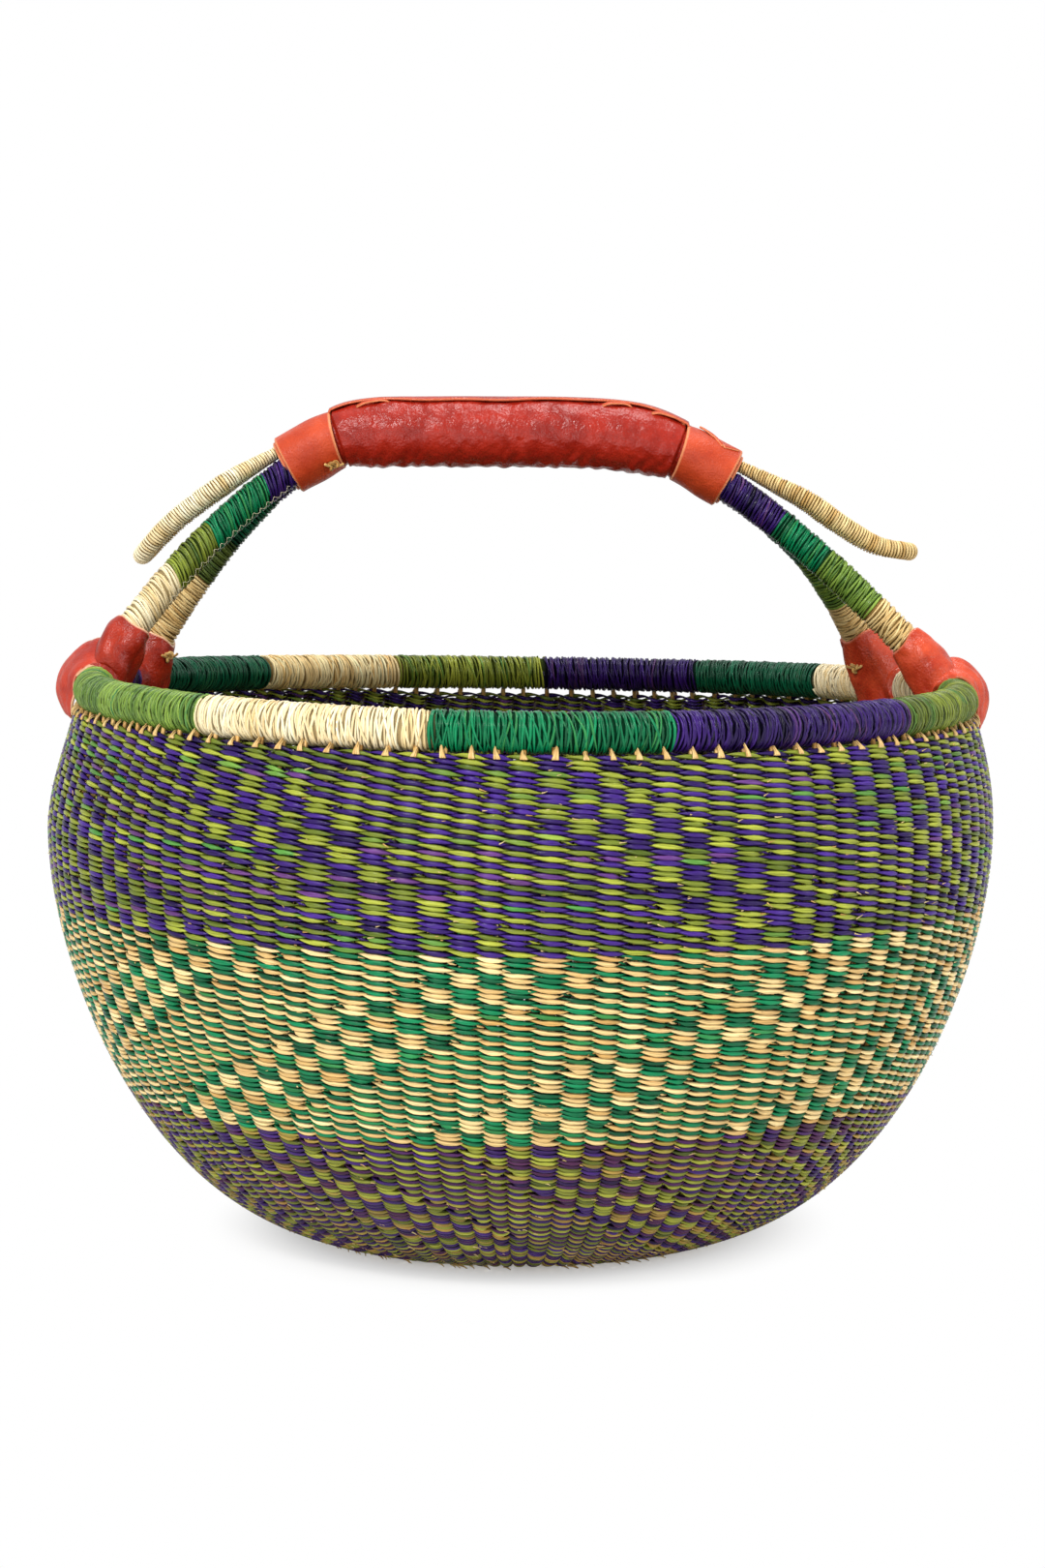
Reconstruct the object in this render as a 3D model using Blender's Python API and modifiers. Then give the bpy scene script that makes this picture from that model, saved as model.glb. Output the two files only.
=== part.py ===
"""A round hand-woven market basket with a leather grip on a four-legged handle.

Metres, +Z up. The basket stands on z = 0 with its belly centred on the Z axis. The handle spans
left (-X) to right (+X) and sits behind the middle, towards +Y.
"""

import math

import bmesh
import bpy
import numpy as np
from mathutils import Vector

COLLECTION = "bolga_basket"

# Gap between pieces that touch on the real basket, and a wider one where facets don't line up
CLEARANCE = 0.0003
FACET_CLEARANCE = 0.0007

# Rim: a bundle of stake ends bound round with straw
RIM_RADIUS = 0.1915
RIM_HEIGHT = 0.2375
RIM_WRAP_RADIUS = 0.0082
RIM_WRAP_THICKNESS = 0.0030
RIM_WRAP_GAP = 0.0008

# Woven wall: its outer line runs from the mouth, under the rim, over the belly down to the foot
WALL_THICKNESS = 0.0058
STAKE_HEIGHT = 0.0113
WALL_TOP = RIM_HEIGHT - STAKE_HEIGHT
MOUTH_OVERHANG = 0.009
MOUTH_RADIUS = RIM_RADIUS + MOUTH_OVERHANG
MOUTH_FLARE = 0.0035
MOUTH_DROP = 0.013
BELLY_BULGE = 0.018
BELLY_RADIUS = RIM_RADIUS + BELLY_BULGE
BELLY_HEIGHT_SHARE = 0.8
BELLY_HEIGHT = WALL_TOP * BELLY_HEIGHT_SHARE
BELLY_EASE = 0.018
BELLY_PULL_SHARE = 0.37
FOOT_PULL = 0.0824
FOOT_RADIUS = 0.0793

# Heights at which the weave changes colour, as shares of the wall's height
MIDDLE_TOP_SHARE = 0.663
MIDDLE_BOTTOM_SHARE = 0.31

# The stakes that carry the rim, at a share of the rim's half width from its middle
STAKE_RING_SHARE = 0.67
STAKE_RING_WIDTH = 0.0028

# Foot ring and base
FOOT_RING_HEIGHT = 0.003
FOOT_FLAT_WIDTH = 0.011
BASE_RAISE = 0.002
BASE_DOME = 0.0025
BASE_THICKNESS = 0.0052

# How far out of true the hand-woven mouth stands: a saddle, two tilts and a shift to the right
RIM_SADDLE = 0.00165
RIM_TILT_RIGHT = -0.0026
RIM_TILT_BACK = 0.0008
RIM_SHIFT_RIGHT = 0.0024

# Colours of the rim's binding, each with the angle in degrees where it starts, from +X towards +Y
RIM_COLOURS = (
    ("natural", -131.8),
    ("green", -101.2),
    ("purple", -73.4),
    ("olive", -38.3),
    ("natural", -5.0),
    ("green", 41.0),
    ("purple", 63.0),
    ("olive", 87.3),
    ("natural", 110.2),
    ("green", 132.9),
    ("purple", 153.0),
    ("olive", 172.0),
)

# Grip: a straw core under leather, drooping further at its right end than at its left
GRIP_LEFT = -0.1060
GRIP_SPAN = 0.2005
GRIP_BACK = 0.045
GRIP_RISE = 0.1170
GRIP_HEIGHT = RIM_HEIGHT + GRIP_RISE
GRIP_DROP = 0.0206
GRIP_RADIUS = 0.0153
GRIP_END_RADIUS = 0.0119
GRIP_SWELL = 0.040
GRIP_SWELL_SHARE = 0.45
GRIP_STEP = 0.0012
GRIP_LEATHER = 0.0018
GRIP_SEAT_SHARE = 0.7
# Places along the grip as shares of its span, with how far down each lies as a share of its drop
GRIP_ROUTE_SHARES = (
    (0, 0.70),
    (0.115, 0.13),
    (0.22, 0.01),
    (0.54, 0),
    (0.75, 0.08),
    (0.885, 0.40),
    (1, 1),
)

# Cuffs: leather collars over both ends of the grip, wider than they are high
CUFF_LENGTH = 0.025
CUFF_RADIUS = 0.0139
CUFF_LEATHER = 0.0014
CUFF_WIDTH_SHARE = 1.2

# Legs: four stiff straw rods, bound in four colours
LEG_RADIUS = 0.0073
LEG_HEAD_RADIUS = 0.0056
LEG_HEAD_DEPTH = 0.0075
LEG_HEAD_SPREAD = 0.0077
LEG_HEAD_SINK = 0.0026
LEG_STEP = 0.0005
LEG_CORE_SHARES = (0.1, 0.22, 0.38, 0.58, 0.79)
# Where each leg stands on the rim, how steeply it starts and how soon it turns, from foot and from head
LEG_FOOT_ANGLES = {"front_left": 178.0, "back_left": 160.0, "front_right": 3.0, "back_right": 27.0}
LEG_FOOT_RISES = {"front_left": 68.0, "back_left": 80.0, "front_right": 56.0, "back_right": 56.0}
LEG_FOOT_SHARES = {"front_left": 0.20, "back_left": 0.10, "front_right": 0.15, "back_right": 0.36}
LEG_HEAD_SHARES = {"front_left": 0.30, "back_left": 0.30, "front_right": 0.30, "back_right": 0.50}
LEG_COLOURS = ("natural", "olive", "green", "purple")
LEFT_COLOUR_SHARES = (0.28, 0.25, 0.33, 0.14)
RIGHT_COLOUR_SHARES = (0.19, 0.29, 0.24, 0.28)

# Binding of the legs: a helix of thick turns, each one standing for two or three of real straw
STRAND_DIAMETER = 0.0041
STRAND_PITCH = 0.0054
POINTS_PER_TURN = 8
LEAST_STRAND_GAP = 0.0004

# Boots: leather sleeves on the legs' feet, each with a strap over the outside of the rim
BOOT_LENGTH = 0.0225
BOOT_TOP_RADIUS = 0.0087
BOOT_BULGE_RADIUS = 0.0108
BOOT_FOOT_RADIUS = 0.0098
BOOT_LEATHER = 0.0012
STRAP_WIDTH = 0.017
STRAP_THICKNESS = 0.0018
STRAP_TAPER_SHARE = 0.45
STRAP_TAIL_DROP = 0.0027
STRAP_HIGHEST_ANGLE = 86.0
STRAP_UNDER_ANGLE = 32.0
# How far each strap stands off the rim's binding, and how far round it the strap goes
STRAP_STANDS = {"front_left": 0.0100, "back_left": 0.0, "front_right": 0.0052, "back_right": 0.0}
STRAP_END_ANGLES = {"front_left": -30.0, "back_left": 0.0, "front_right": -20.0, "back_right": 0.0}

# Ears: stiff straw loops that stick out of the cuffs above the legs
EAR_RISE = 0.0076
EAR_ROOT_DEPTH = 0.005
EAR_ROOT_SPREAD = 0.0048
EAR_SPREAD = 0.0150
EAR_ROOT_RADIUS = 0.0026
EAR_MIDDLE_RADIUS = 0.0045
EAR_TIP_RADIUS = 0.0042
LEFT_EAR_REACH = 0.0640
LEFT_EAR_DROP = 0.0480
RIGHT_EAR_REACH = 0.0800
RIGHT_EAR_DROP = 0.0400
LEFT_EAR_SHARES = ((0, 0), (0.12, 0.09), (0.35, 0.27), (0.62, 0.52), (0.81, 0.73), (1, 1))
RIGHT_EAR_SHARES = ((0, 0), (0.16, 0.16), (0.41, 0.42), (0.58, 0.66), (0.80, 0.92), (1, 1))
EAR_BLUNTNESS = 0.8
EAR_SQUARENESS = 0.6

# Lace along the grip's seam, and the knots that tie the leather
LACE_RADIUS = 0.0009
LACE_SWING = 0.0013
LACE_STITCH = 0.009
LACE_ANGLE = 52.0
KNOT_RADIUS = 0.0024
KNOT_ANGLE = 43.0
CUFF_KNOT_SHARE = 0.75
BOOT_KNOT_SHARE = 0.35

# Counts: the lower band is four rings, each nearly straight from top to bottom
LOWER_BAND_RINGS = 4
LOWER_BAND_ROWS = 3
BAND_ROWS = 4
TURNED_STEPS = 48
WRAP_STEP = 7.5
WRAP_SIDES = 8

# Base colour, roughness
MATERIALS = {
    "olive_purple_weave": ((0.135, 0.165, 0.105), 0.55),
    "green_natural_weave": ((0.360, 0.430, 0.200), 0.55),
    "natural": ((0.780, 0.620, 0.320), 0.60),
    "olive": ((0.185, 0.290, 0.045), 0.50),
    "green": ((0.006, 0.220, 0.085), 0.45),
    "purple": ((0.050, 0.020, 0.190), 0.45),
    "straw_core": ((0.560, 0.430, 0.230), 0.80),
    "grip_leather": ((0.360, 0.035, 0.018), 0.35),
    "cuff_leather": ((0.640, 0.090, 0.038), 0.42),
    "boot_leather": ((0.500, 0.045, 0.025), 0.42),
}


# Small helpers


def clear_scene():
    """Leaves the file empty, so that the script gives the same result each time."""
    for obj in list(bpy.data.objects):
        bpy.data.objects.remove(obj, do_unlink=True)


def new_collection(name):
    collection = bpy.data.collections.new(name)
    bpy.context.scene.collection.children.link(collection)
    return collection


def make_materials():
    """One Principled material for each straw and leather colour."""
    made = {}
    for name, (colour, roughness) in MATERIALS.items():
        material = bpy.data.materials.new(name)
        material.use_nodes = True
        shader = material.node_tree.nodes["Principled BSDF"]
        shader.inputs["Base Color"].default_value = (*colour, 1)
        shader.inputs["Roughness"].default_value = roughness
        shader.inputs["Metallic"].default_value = 0
        made[name] = material
    return made


def add_object(name, data, material):
    """Puts a mesh or curve in the basket's collection with its material."""
    obj = bpy.data.objects.new(name, data)
    parts.objects.link(obj)
    data.materials.append(materials[material])
    return obj


def shade(mesh):
    mesh.shade_smooth()
    mesh.set_sharp_from_angle(angle=math.radians(40))


def baked(obj):
    """The same object as a plain mesh in world space, with its modifiers applied."""
    bpy.context.view_layer.update()
    graph = bpy.context.evaluated_depsgraph_get()
    mesh = bpy.data.meshes.new_from_object(obj.evaluated_get(graph))
    mesh.transform(obj.matrix_world)
    name = obj.name
    bpy.data.objects.remove(obj, do_unlink=True)
    plain = bpy.data.objects.new(name, mesh)
    parts.objects.link(plain)
    return plain


def spaced(start, end, count):
    """Evenly spaced values as plain numbers."""
    return np.linspace(start, end, count).tolist()


def smooth_step(share):
    share = min(max(share, 0), 1)
    return share * share * (3 - 2 * share)


def cubic(places, share):
    """The point at a share of the way along a cubic Bezier curve."""
    start, first, second, end = (Vector(place) for place in places)
    rest = 1 - share
    return rest**3 * start + 3 * rest**2 * share * first + 3 * rest * share**2 * second + share**3 * end


def through(places, count):
    """Points on a smooth curve that passes through the given places (Catmull-Rom)."""
    places = [Vector(place) for place in places]
    places = [2 * places[0] - places[1], *places, 2 * places[-1] - places[-2]]
    spans = len(places) - 3
    made = []
    for share in spaced(0, spans, count):
        i = min(int(share), spans - 1)
        t = share - i
        a, b, c, d = places[i : i + 4]
        square = 2 * a - 5 * b + 4 * c - d
        cube = 3 * b - a - 3 * c + d
        made.append(0.5 * (2 * b + (c - a) * t + square * t**2 + cube * t**3))
    return made


class Path:
    """A curve in space that can be asked for its point and direction at a distance from its start."""

    def __init__(self, points):
        self.points = np.array([tuple(point) for point in points])
        steps = np.linalg.norm(np.diff(self.points, axis=0), axis=1)
        self.stations = np.concatenate([[0], np.cumsum(steps)])
        self.length = float(self.stations[-1])

    def at(self, distance):
        return Vector([float(np.interp(distance, self.stations, axis)) for axis in self.points.T])

    def along(self, distance):
        """The unit direction there, read over a short stretch."""
        reach = self.length / len(self.points)
        low = min(max(distance - reach, 0), self.length - 2 * reach)
        return (self.at(low + 2 * reach) - self.at(low)).normalized()

    def frame(self, distance):
        """The direction there, the level one square to it from front to back, and the upper one."""
        forward = self.along(distance)
        upper = forward.cross(Vector((0, 1, 0))).normalized()
        if upper.z < 0:
            upper.negate()
        return forward, forward.cross(upper).normalized(), upper


def turned(name, profile, material, closed=True, start=0, sweep=360, steps=TURNED_STEPS):
    """Turns a profile of (radius, height) points round the Z axis, through an angle in degrees."""
    mesh = bpy.data.meshes.new(name)
    points = [(radius, 0, height) for radius, height in profile]
    edges = [(i, i + 1) for i in range(len(points) - 1)]
    if closed:
        edges.append((len(points) - 1, 0))
    mesh.from_pydata(points, edges, [])
    obj = add_object(name, mesh, material)
    obj.rotation_euler.z = math.radians(start)
    screw = obj.modifiers.new("Turn", "SCREW")
    screw.angle = math.radians(sweep)
    screw.steps = steps
    screw.render_steps = steps
    screw.use_merge_vertices = True
    screw.merge_threshold = 0.00005
    return obj


def tube(name, points, radii, material, resolution=2, caps=True):
    """A round bar through the points, with a radius at each."""
    curve = bpy.data.curves.new(name, "CURVE")
    curve.dimensions = "3D"
    curve.bevel_depth = max(radii)
    curve.bevel_resolution = resolution
    curve.use_fill_caps = caps
    spline = curve.splines.new("POLY")
    spline.points.add(len(points) - 1)
    for place, point, radius in zip(spline.points, points, radii):
        place.co = (*point, 1)
        place.radius = radius / max(radii)
    return add_object(name, curve, material)


def sleeve(name, points, radii, wall, material, width_share=1):
    """An open-ended leather tube of even wall, stretched from front to back about its own middle."""
    obj = baked(tube(name, points, radii, material, resolution=4, caps=False))
    for vertex in obj.data.vertices:
        vertex.co.y = points[0][1] + (vertex.co.y - points[0][1]) * width_share
    solid = obj.modifiers.new("Leather", "SOLIDIFY")
    solid.thickness = wall
    solid.offset = -1
    solid.use_even_offset = True
    shade(obj.data)
    return obj


# The wall's line and the lean of the mouth


def wall_line():
    """The wall's outer line as a path of (radius, 0, height) points, from its top edge to its foot."""
    upper = (
        (MOUTH_RADIUS, 0, WALL_TOP),
        (MOUTH_RADIUS + MOUTH_FLARE, 0, WALL_TOP - MOUTH_DROP),
        (BELLY_RADIUS, 0, BELLY_HEIGHT + BELLY_EASE),
        (BELLY_RADIUS, 0, BELLY_HEIGHT),
    )
    lower = (
        (BELLY_RADIUS, 0, BELLY_HEIGHT),
        (BELLY_RADIUS, 0, BELLY_HEIGHT * (1 - BELLY_PULL_SHARE)),
        (FOOT_RADIUS + FOOT_PULL, 0, 0),
        (FOOT_RADIUS, 0, 0),
    )
    shares = spaced(0, 1, 80)
    return Path([cubic(upper, share) for share in shares] + [cubic(lower, share) for share in shares[1:]])


def station_of_height(height):
    """How far down the wall's line a height is met."""
    return float(np.interp(-height, -wall.points[:, 2], wall.stations))


def wall_pair(station):
    """The outer and the inner (radius, height) of the wall at a place along its line."""
    point = wall.at(station)
    along = wall.along(station)
    inner = point + WALL_THICKNESS * Vector((along.z, 0, -along.x))
    return (point.x, point.z), (inner.x, inner.z)


def rim_rise(angle):
    """How far the mouth stands above its level at an angle in radians."""
    saddle = RIM_SADDLE * math.cos(2 * angle)
    return saddle + RIM_TILT_RIGHT * math.cos(angle) + RIM_TILT_BACK * math.sin(angle)


def settled(obj):
    """Bakes a turned piece and moves it out of true, not at all at the belly and fully at the mouth."""
    obj = baked(obj)
    for vertex in obj.data.vertices:
        share = smooth_step((vertex.co.z - BELLY_HEIGHT) / (WALL_TOP - BELLY_HEIGHT))
        angle = math.atan2(vertex.co.y, vertex.co.x)
        vertex.co.x += share * RIM_SHIFT_RIGHT
        vertex.co.z += share * rim_rise(angle)
    shade(obj.data)
    return obj


def rim_point(angle):
    """The middle of the rim at an angle in radians."""
    x = RIM_RADIUS * math.cos(angle) + RIM_SHIFT_RIGHT
    return Vector((x, RIM_RADIUS * math.sin(angle), RIM_HEIGHT + rim_rise(angle)))


# Woven body


def make_band(name, top, bottom, material, rows=BAND_ROWS):
    """One colour band of the woven wall, between two places along its line."""
    stations = spaced(top + CLEARANCE / 2, bottom - CLEARANCE / 2, rows)
    pairs = [wall_pair(station) for station in stations]
    outer = [pair[0] for pair in pairs]
    inner = [pair[1] for pair in reversed(pairs)]
    settled(turned(name, outer + inner, material))


def make_body():
    """Three colour bands, the foot ring that the basket stands on, and the base inside it."""
    middle_top = station_of_height(WALL_TOP * MIDDLE_TOP_SHARE)
    middle_bottom = station_of_height(WALL_TOP * MIDDLE_BOTTOM_SHARE)
    foot = station_of_height(FOOT_RING_HEIGHT)
    make_band("upper_band", 0, middle_top, "olive_purple_weave")
    make_band("middle_band", middle_top, middle_bottom, "green_natural_weave")
    edges = spaced(middle_bottom, foot, LOWER_BAND_RINGS + 1)
    for number, (top, bottom) in enumerate(zip(edges, edges[1:])):
        name = f"lower_band_{number + 1}"
        make_band(name, top, bottom, "olive_purple_weave", LOWER_BAND_ROWS)

    outer, inner = wall_pair(foot + CLEARANCE / 2)
    ring = (
        outer,
        (FOOT_RADIUS + FOOT_FLAT_WIDTH, 0),
        (FOOT_RADIUS, 0),
        (FOOT_RADIUS, WALL_THICKNESS),
        inner,
    )
    shade(turned("foot_ring", ring, "natural").data)

    edge = FOOT_RADIUS - CLEARANCE
    base = (
        (0, BASE_RAISE + BASE_DOME + BASE_THICKNESS),
        (edge / 2, BASE_RAISE + BASE_DOME / 2 + BASE_THICKNESS),
        (edge, BASE_THICKNESS),
        (edge, CLEARANCE),
        (edge / 2, BASE_RAISE + BASE_DOME / 2),
        (0, BASE_RAISE + BASE_DOME),
    )
    shade(turned("base_panel", base, "olive_purple_weave", closed=False).data)


# Rim


def make_stake_ring():
    """The ends of the stakes that stand out of the weave and carry the rim, as one ring."""
    out = RIM_WRAP_RADIUS * STAKE_RING_SHARE - STAKE_RING_WIDTH / 2
    top = RIM_HEIGHT - math.sqrt((RIM_WRAP_RADIUS + CLEARANCE) ** 2 - out**2)
    bottom = WALL_TOP + CLEARANCE
    inner = RIM_RADIUS + out
    outer = inner + STAKE_RING_WIDTH
    section = ((outer, top), (outer, bottom), (inner, bottom), (inner, top))
    settled(turned("stake_ring", section, "natural"))


def rim_circle(radius):
    """The rim's round section as (radius, height) points that run down its outer side first."""
    angles = [math.pi / 2 - 2 * math.pi * i / WRAP_SIDES for i in range(WRAP_SIDES)]
    return [(RIM_RADIUS + radius * math.cos(a), RIM_HEIGHT + radius * math.sin(a)) for a in angles]


def make_rim():
    """The core ring of bundled stake ends, and twelve arcs of coloured straw binding over it."""
    core_radius = RIM_WRAP_RADIUS - RIM_WRAP_THICKNESS - 2 * FACET_CLEARANCE
    settled(turned("rim_core", rim_circle(core_radius), "straw_core"))
    gap = math.degrees(RIM_WRAP_GAP / RIM_RADIUS)
    turn = [start for _, start in RIM_COLOURS] + [RIM_COLOURS[0][1] + 360]
    for number, (colour, start) in enumerate(RIM_COLOURS):
        sweep = turn[number + 1] - start - gap
        steps = max(2, round(sweep / WRAP_STEP))
        name = f"rim_wrap_{number + 1:02d}_{colour}"
        arc = turned(name, rim_circle(RIM_WRAP_RADIUS), colour, True, start + gap / 2, sweep, steps)
        solid = arc.modifiers.new("Straw", "SOLIDIFY")
        solid.thickness = RIM_WRAP_THICKNESS
        solid.offset = -1
        solid.use_even_offset = True
        settled(arc)


# Handle


def grip_path():
    places = [
        (GRIP_LEFT + along * GRIP_SPAN, GRIP_BACK, GRIP_HEIGHT - down * GRIP_DROP)
        for along, down in GRIP_ROUTE_SHARES
    ]
    return Path(through(places, 90))


def grip_radius(distance):
    """The leather's outer radius: slim under the cuffs and full between them."""
    from_end = min(distance, grip.length - distance) - CUFF_LENGTH - GRIP_STEP
    if from_end < 0:
        return GRIP_END_RADIUS
    swell = smooth_step(from_end / GRIP_SWELL + GRIP_SWELL_SHARE)
    return GRIP_END_RADIUS + (GRIP_RADIUS - GRIP_END_RADIUS) * swell


def make_grip():
    """The straw core of the grip, its leather, and a cuff over each end."""
    slim = [CUFF_LENGTH * GRIP_SEAT_SHARE, CUFF_LENGTH + CLEARANCE]
    full = CUFF_LENGTH + 2 * GRIP_STEP
    between = spaced(full, grip.length - full, 15)
    stations = slim + between + [grip.length - place for place in reversed(slim)]
    points = [grip.at(station) for station in stations]
    radii = [grip_radius(station) for station in stations]
    sleeve("grip_leather", points, radii, GRIP_LEATHER, "grip_leather")

    lost = GRIP_LEATHER + FACET_CLEARANCE
    slim = [LEG_HEAD_DEPTH + 2 * FACET_CLEARANCE, CUFF_LENGTH + 2 * GRIP_STEP]
    full = CUFF_LENGTH + 4 * GRIP_STEP
    inner = spaced(full, grip.length - full, 11)
    stations = slim + inner + [grip.length - place for place in reversed(slim)]
    thin = [GRIP_END_RADIUS - lost] * len(slim)
    radii = thin + [grip_radius(station) - lost for station in inner] + thin
    tube("grip_core", [grip.at(station) for station in stations], radii, "straw_core", resolution=4)

    ends = {"cuff_left": (0, CUFF_LENGTH), "cuff_right": (grip.length, grip.length - CUFF_LENGTH)}
    for name, (mouth, inside) in ends.items():
        points = [grip.at(station) for station in spaced(mouth, inside, 6)]
        radii = [CUFF_RADIUS] * len(points)
        sleeve(name, points, radii, CUFF_LEATHER, "cuff_leather", CUFF_WIDTH_SHARE)


def make_lace():
    """The lace that closes the grip's seam, swinging from side to side along its upper front."""
    from_end = CUFF_LENGTH + 4 * LACE_RADIUS
    stitches = round((grip.length - 2 * from_end) / LACE_STITCH)
    points = []
    for number, station in enumerate(spaced(from_end, grip.length - from_end, 2 * stitches + 1)):
        _, level, upper = grip.frame(station)
        if level.y > 0:
            level.negate()
        reach = grip_radius(station) + LACE_RADIUS + CLEARANCE
        swing = LACE_SWING / reach * (1 if number % 2 else -1)
        angle = math.radians(LACE_ANGLE) + swing
        points.append(grip.at(station) + reach * (math.cos(angle) * level + math.sin(angle) * upper))
    tube("grip_lace", points, [LACE_RADIUS] * len(points), "cuff_leather", resolution=0)


def leg_path(name):
    """A leg's line, from the middle of the rim up into its cuff."""
    angle = math.radians(LEG_FOOT_ANGLES[name])
    foot = rim_point(angle)
    left = name.endswith("left")
    depth = LEG_HEAD_DEPTH if left else grip.length - LEG_HEAD_DEPTH
    forward, _, upper = grip.frame(depth)
    if not left:
        forward.negate()
    spread = Vector((0, -LEG_HEAD_SPREAD if name.startswith("front") else LEG_HEAD_SPREAD, 0))
    head = grip.at(depth) + spread - LEG_HEAD_SINK * upper
    reach = (head - foot).length
    inward = Vector((head.x - foot.x, head.y - foot.y, 0)).normalized()
    rise = math.radians(LEG_FOOT_RISES[name])
    start = math.cos(rise) * inward + Vector((0, 0, math.sin(rise)))
    first = foot + LEG_FOOT_SHARES[name] * reach * start
    second = head - LEG_HEAD_SHARES[name] * reach * forward
    return Path([cubic((foot, first, second, head), share) for share in spaced(0, 1, 60)])


def clear_of_rim(path, angle, radius):
    """How far up a leg's line a piece of this radius starts, so that it just clears the curved rim."""
    lean = abs(path.along(0).dot(Vector((-math.sin(angle), math.cos(angle), 0))))
    bow = radius**2 / (2 * RIM_RADIUS)
    return (RIM_WRAP_RADIUS + FACET_CLEARANCE + bow + radius * lean) / math.sqrt(1 - lean**2)


def bound_stretch(path):
    """The stretch of a leg that shows its binding, between the boot and the cuff."""
    return RIM_WRAP_RADIUS + CLEARANCE + BOOT_LENGTH, path.length - LEG_HEAD_DEPTH - FACET_CLEARANCE


def helix(path, low, high, first, last, turns):
    """Points of a binding wound round a leg, for turns first to last of all its turns."""
    made = []
    count = round((last - first) * POINTS_PER_TURN)
    reach = LEG_RADIUS - STRAND_DIAMETER / 2
    end_tilt = STRAND_DIAMETER / 2 * math.tan(math.pi / POINTS_PER_TURN)
    trim = (CLEARANCE + end_tilt) / (reach * 2 * math.pi)
    for turn in spaced(first + trim, last - trim, count + 1):
        station = low + (high - low) * turn / turns
        _, level, upper = path.frame(station)
        angle = 2 * math.pi * turn
        made.append(path.at(station) + reach * (math.cos(angle) * level + math.sin(angle) * upper))
    return made


def least_gap(points):
    """The least gap between a wound strand's turns, measured on its points."""
    places = np.array([tuple(point) for point in points])
    apart = np.linalg.norm(places[:, None] - places[None], axis=2)
    index = np.arange(len(places))
    other_turn = abs(index[:, None] - index[None]) > POINTS_PER_TURN / 2
    return apart[other_turn].min() - STRAND_DIAMETER


def make_leg(name):
    """One leg: its core, its binding in four colours, its boot and the strap over the rim."""
    path = leg_path(name)
    angle = math.radians(LEG_FOOT_ANGLES[name])
    low, high = bound_stretch(path)
    inside = (LEG_RADIUS - STRAND_DIAMETER / 2) * math.cos(math.pi / POINTS_PER_TURN)
    slim = inside - STRAND_DIAMETER / 2 - CLEARANCE
    start = clear_of_rim(path, angle, LEG_RADIUS)
    places = [(start, LEG_RADIUS), (low - LEG_STEP, LEG_RADIUS), (low, slim)]
    places += [(low + (high - low) * share, slim) for share in LEG_CORE_SHARES]
    places += [(high, slim), (high + LEG_STEP, LEG_HEAD_RADIUS), (path.length, LEG_HEAD_RADIUS)]
    points = [path.at(station) for station, _ in places]
    tube(f"leg_{name}_core", points, [radius for _, radius in places], "straw_core")

    first = low + STRAND_DIAMETER / 2 + CLEARANCE
    last = high - STRAND_DIAMETER / 2 - CLEARANCE
    turns = math.floor((last - first) / STRAND_PITCH * POINTS_PER_TURN) / POINTS_PER_TURN
    shares = LEFT_COLOUR_SHARES if name.endswith("left") else RIGHT_COLOUR_SHARES
    edge = 0
    used = 0
    for colour, share in zip(LEG_COLOURS, shares):
        used += share
        until = round(min(used, 1) * turns * POINTS_PER_TURN) / POINTS_PER_TURN
        points = helix(path, first, last, edge, until, turns)
        gap = least_gap(points)
        print(f"leg_{name}_wrap_{colour}: {until - edge:.2f} turns, least gap {gap * 1000:.2f} mm")
        if gap < LEAST_STRAND_GAP:
            print("  the turns lie too close")
        radii = [STRAND_DIAMETER / 2] * len(points)
        tube(f"leg_{name}_wrap_{colour}", points, radii, colour, resolution=1)
        edge = until
    make_boot(name, path, angle, low)


def make_boot(name, path, angle, top):
    """The leather sleeve on a leg's foot, and the strap that runs on over the outside of the rim."""
    bottom = clear_of_rim(path, angle, BOOT_BULGE_RADIUS)
    points = [path.at(station) for station in spaced(bottom, top, 5)]
    middle = (BOOT_TOP_RADIUS + BOOT_BULGE_RADIUS) / 2
    radii = [BOOT_FOOT_RADIUS, BOOT_BULGE_RADIUS, BOOT_BULGE_RADIUS, middle, BOOT_TOP_RADIUS]
    sleeve(f"boot_{name}", points, radii, BOOT_LEATHER, "boot_leather")

    make_strap(name, angle)


def strap_start(name, reach):
    """The angle round the rim at which a strap just clears the foot of its boot."""
    boot = math.pi - math.radians(LEG_FOOT_RISES[name])
    beside = BOOT_BULGE_RADIUS + 2 * CLEARANCE
    clear = math.asin(beside / reach) if reach > beside else math.radians(STRAP_UNDER_ANGLE)
    return min(boot - clear, math.radians(STRAP_HIGHEST_ANGLE))


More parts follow.
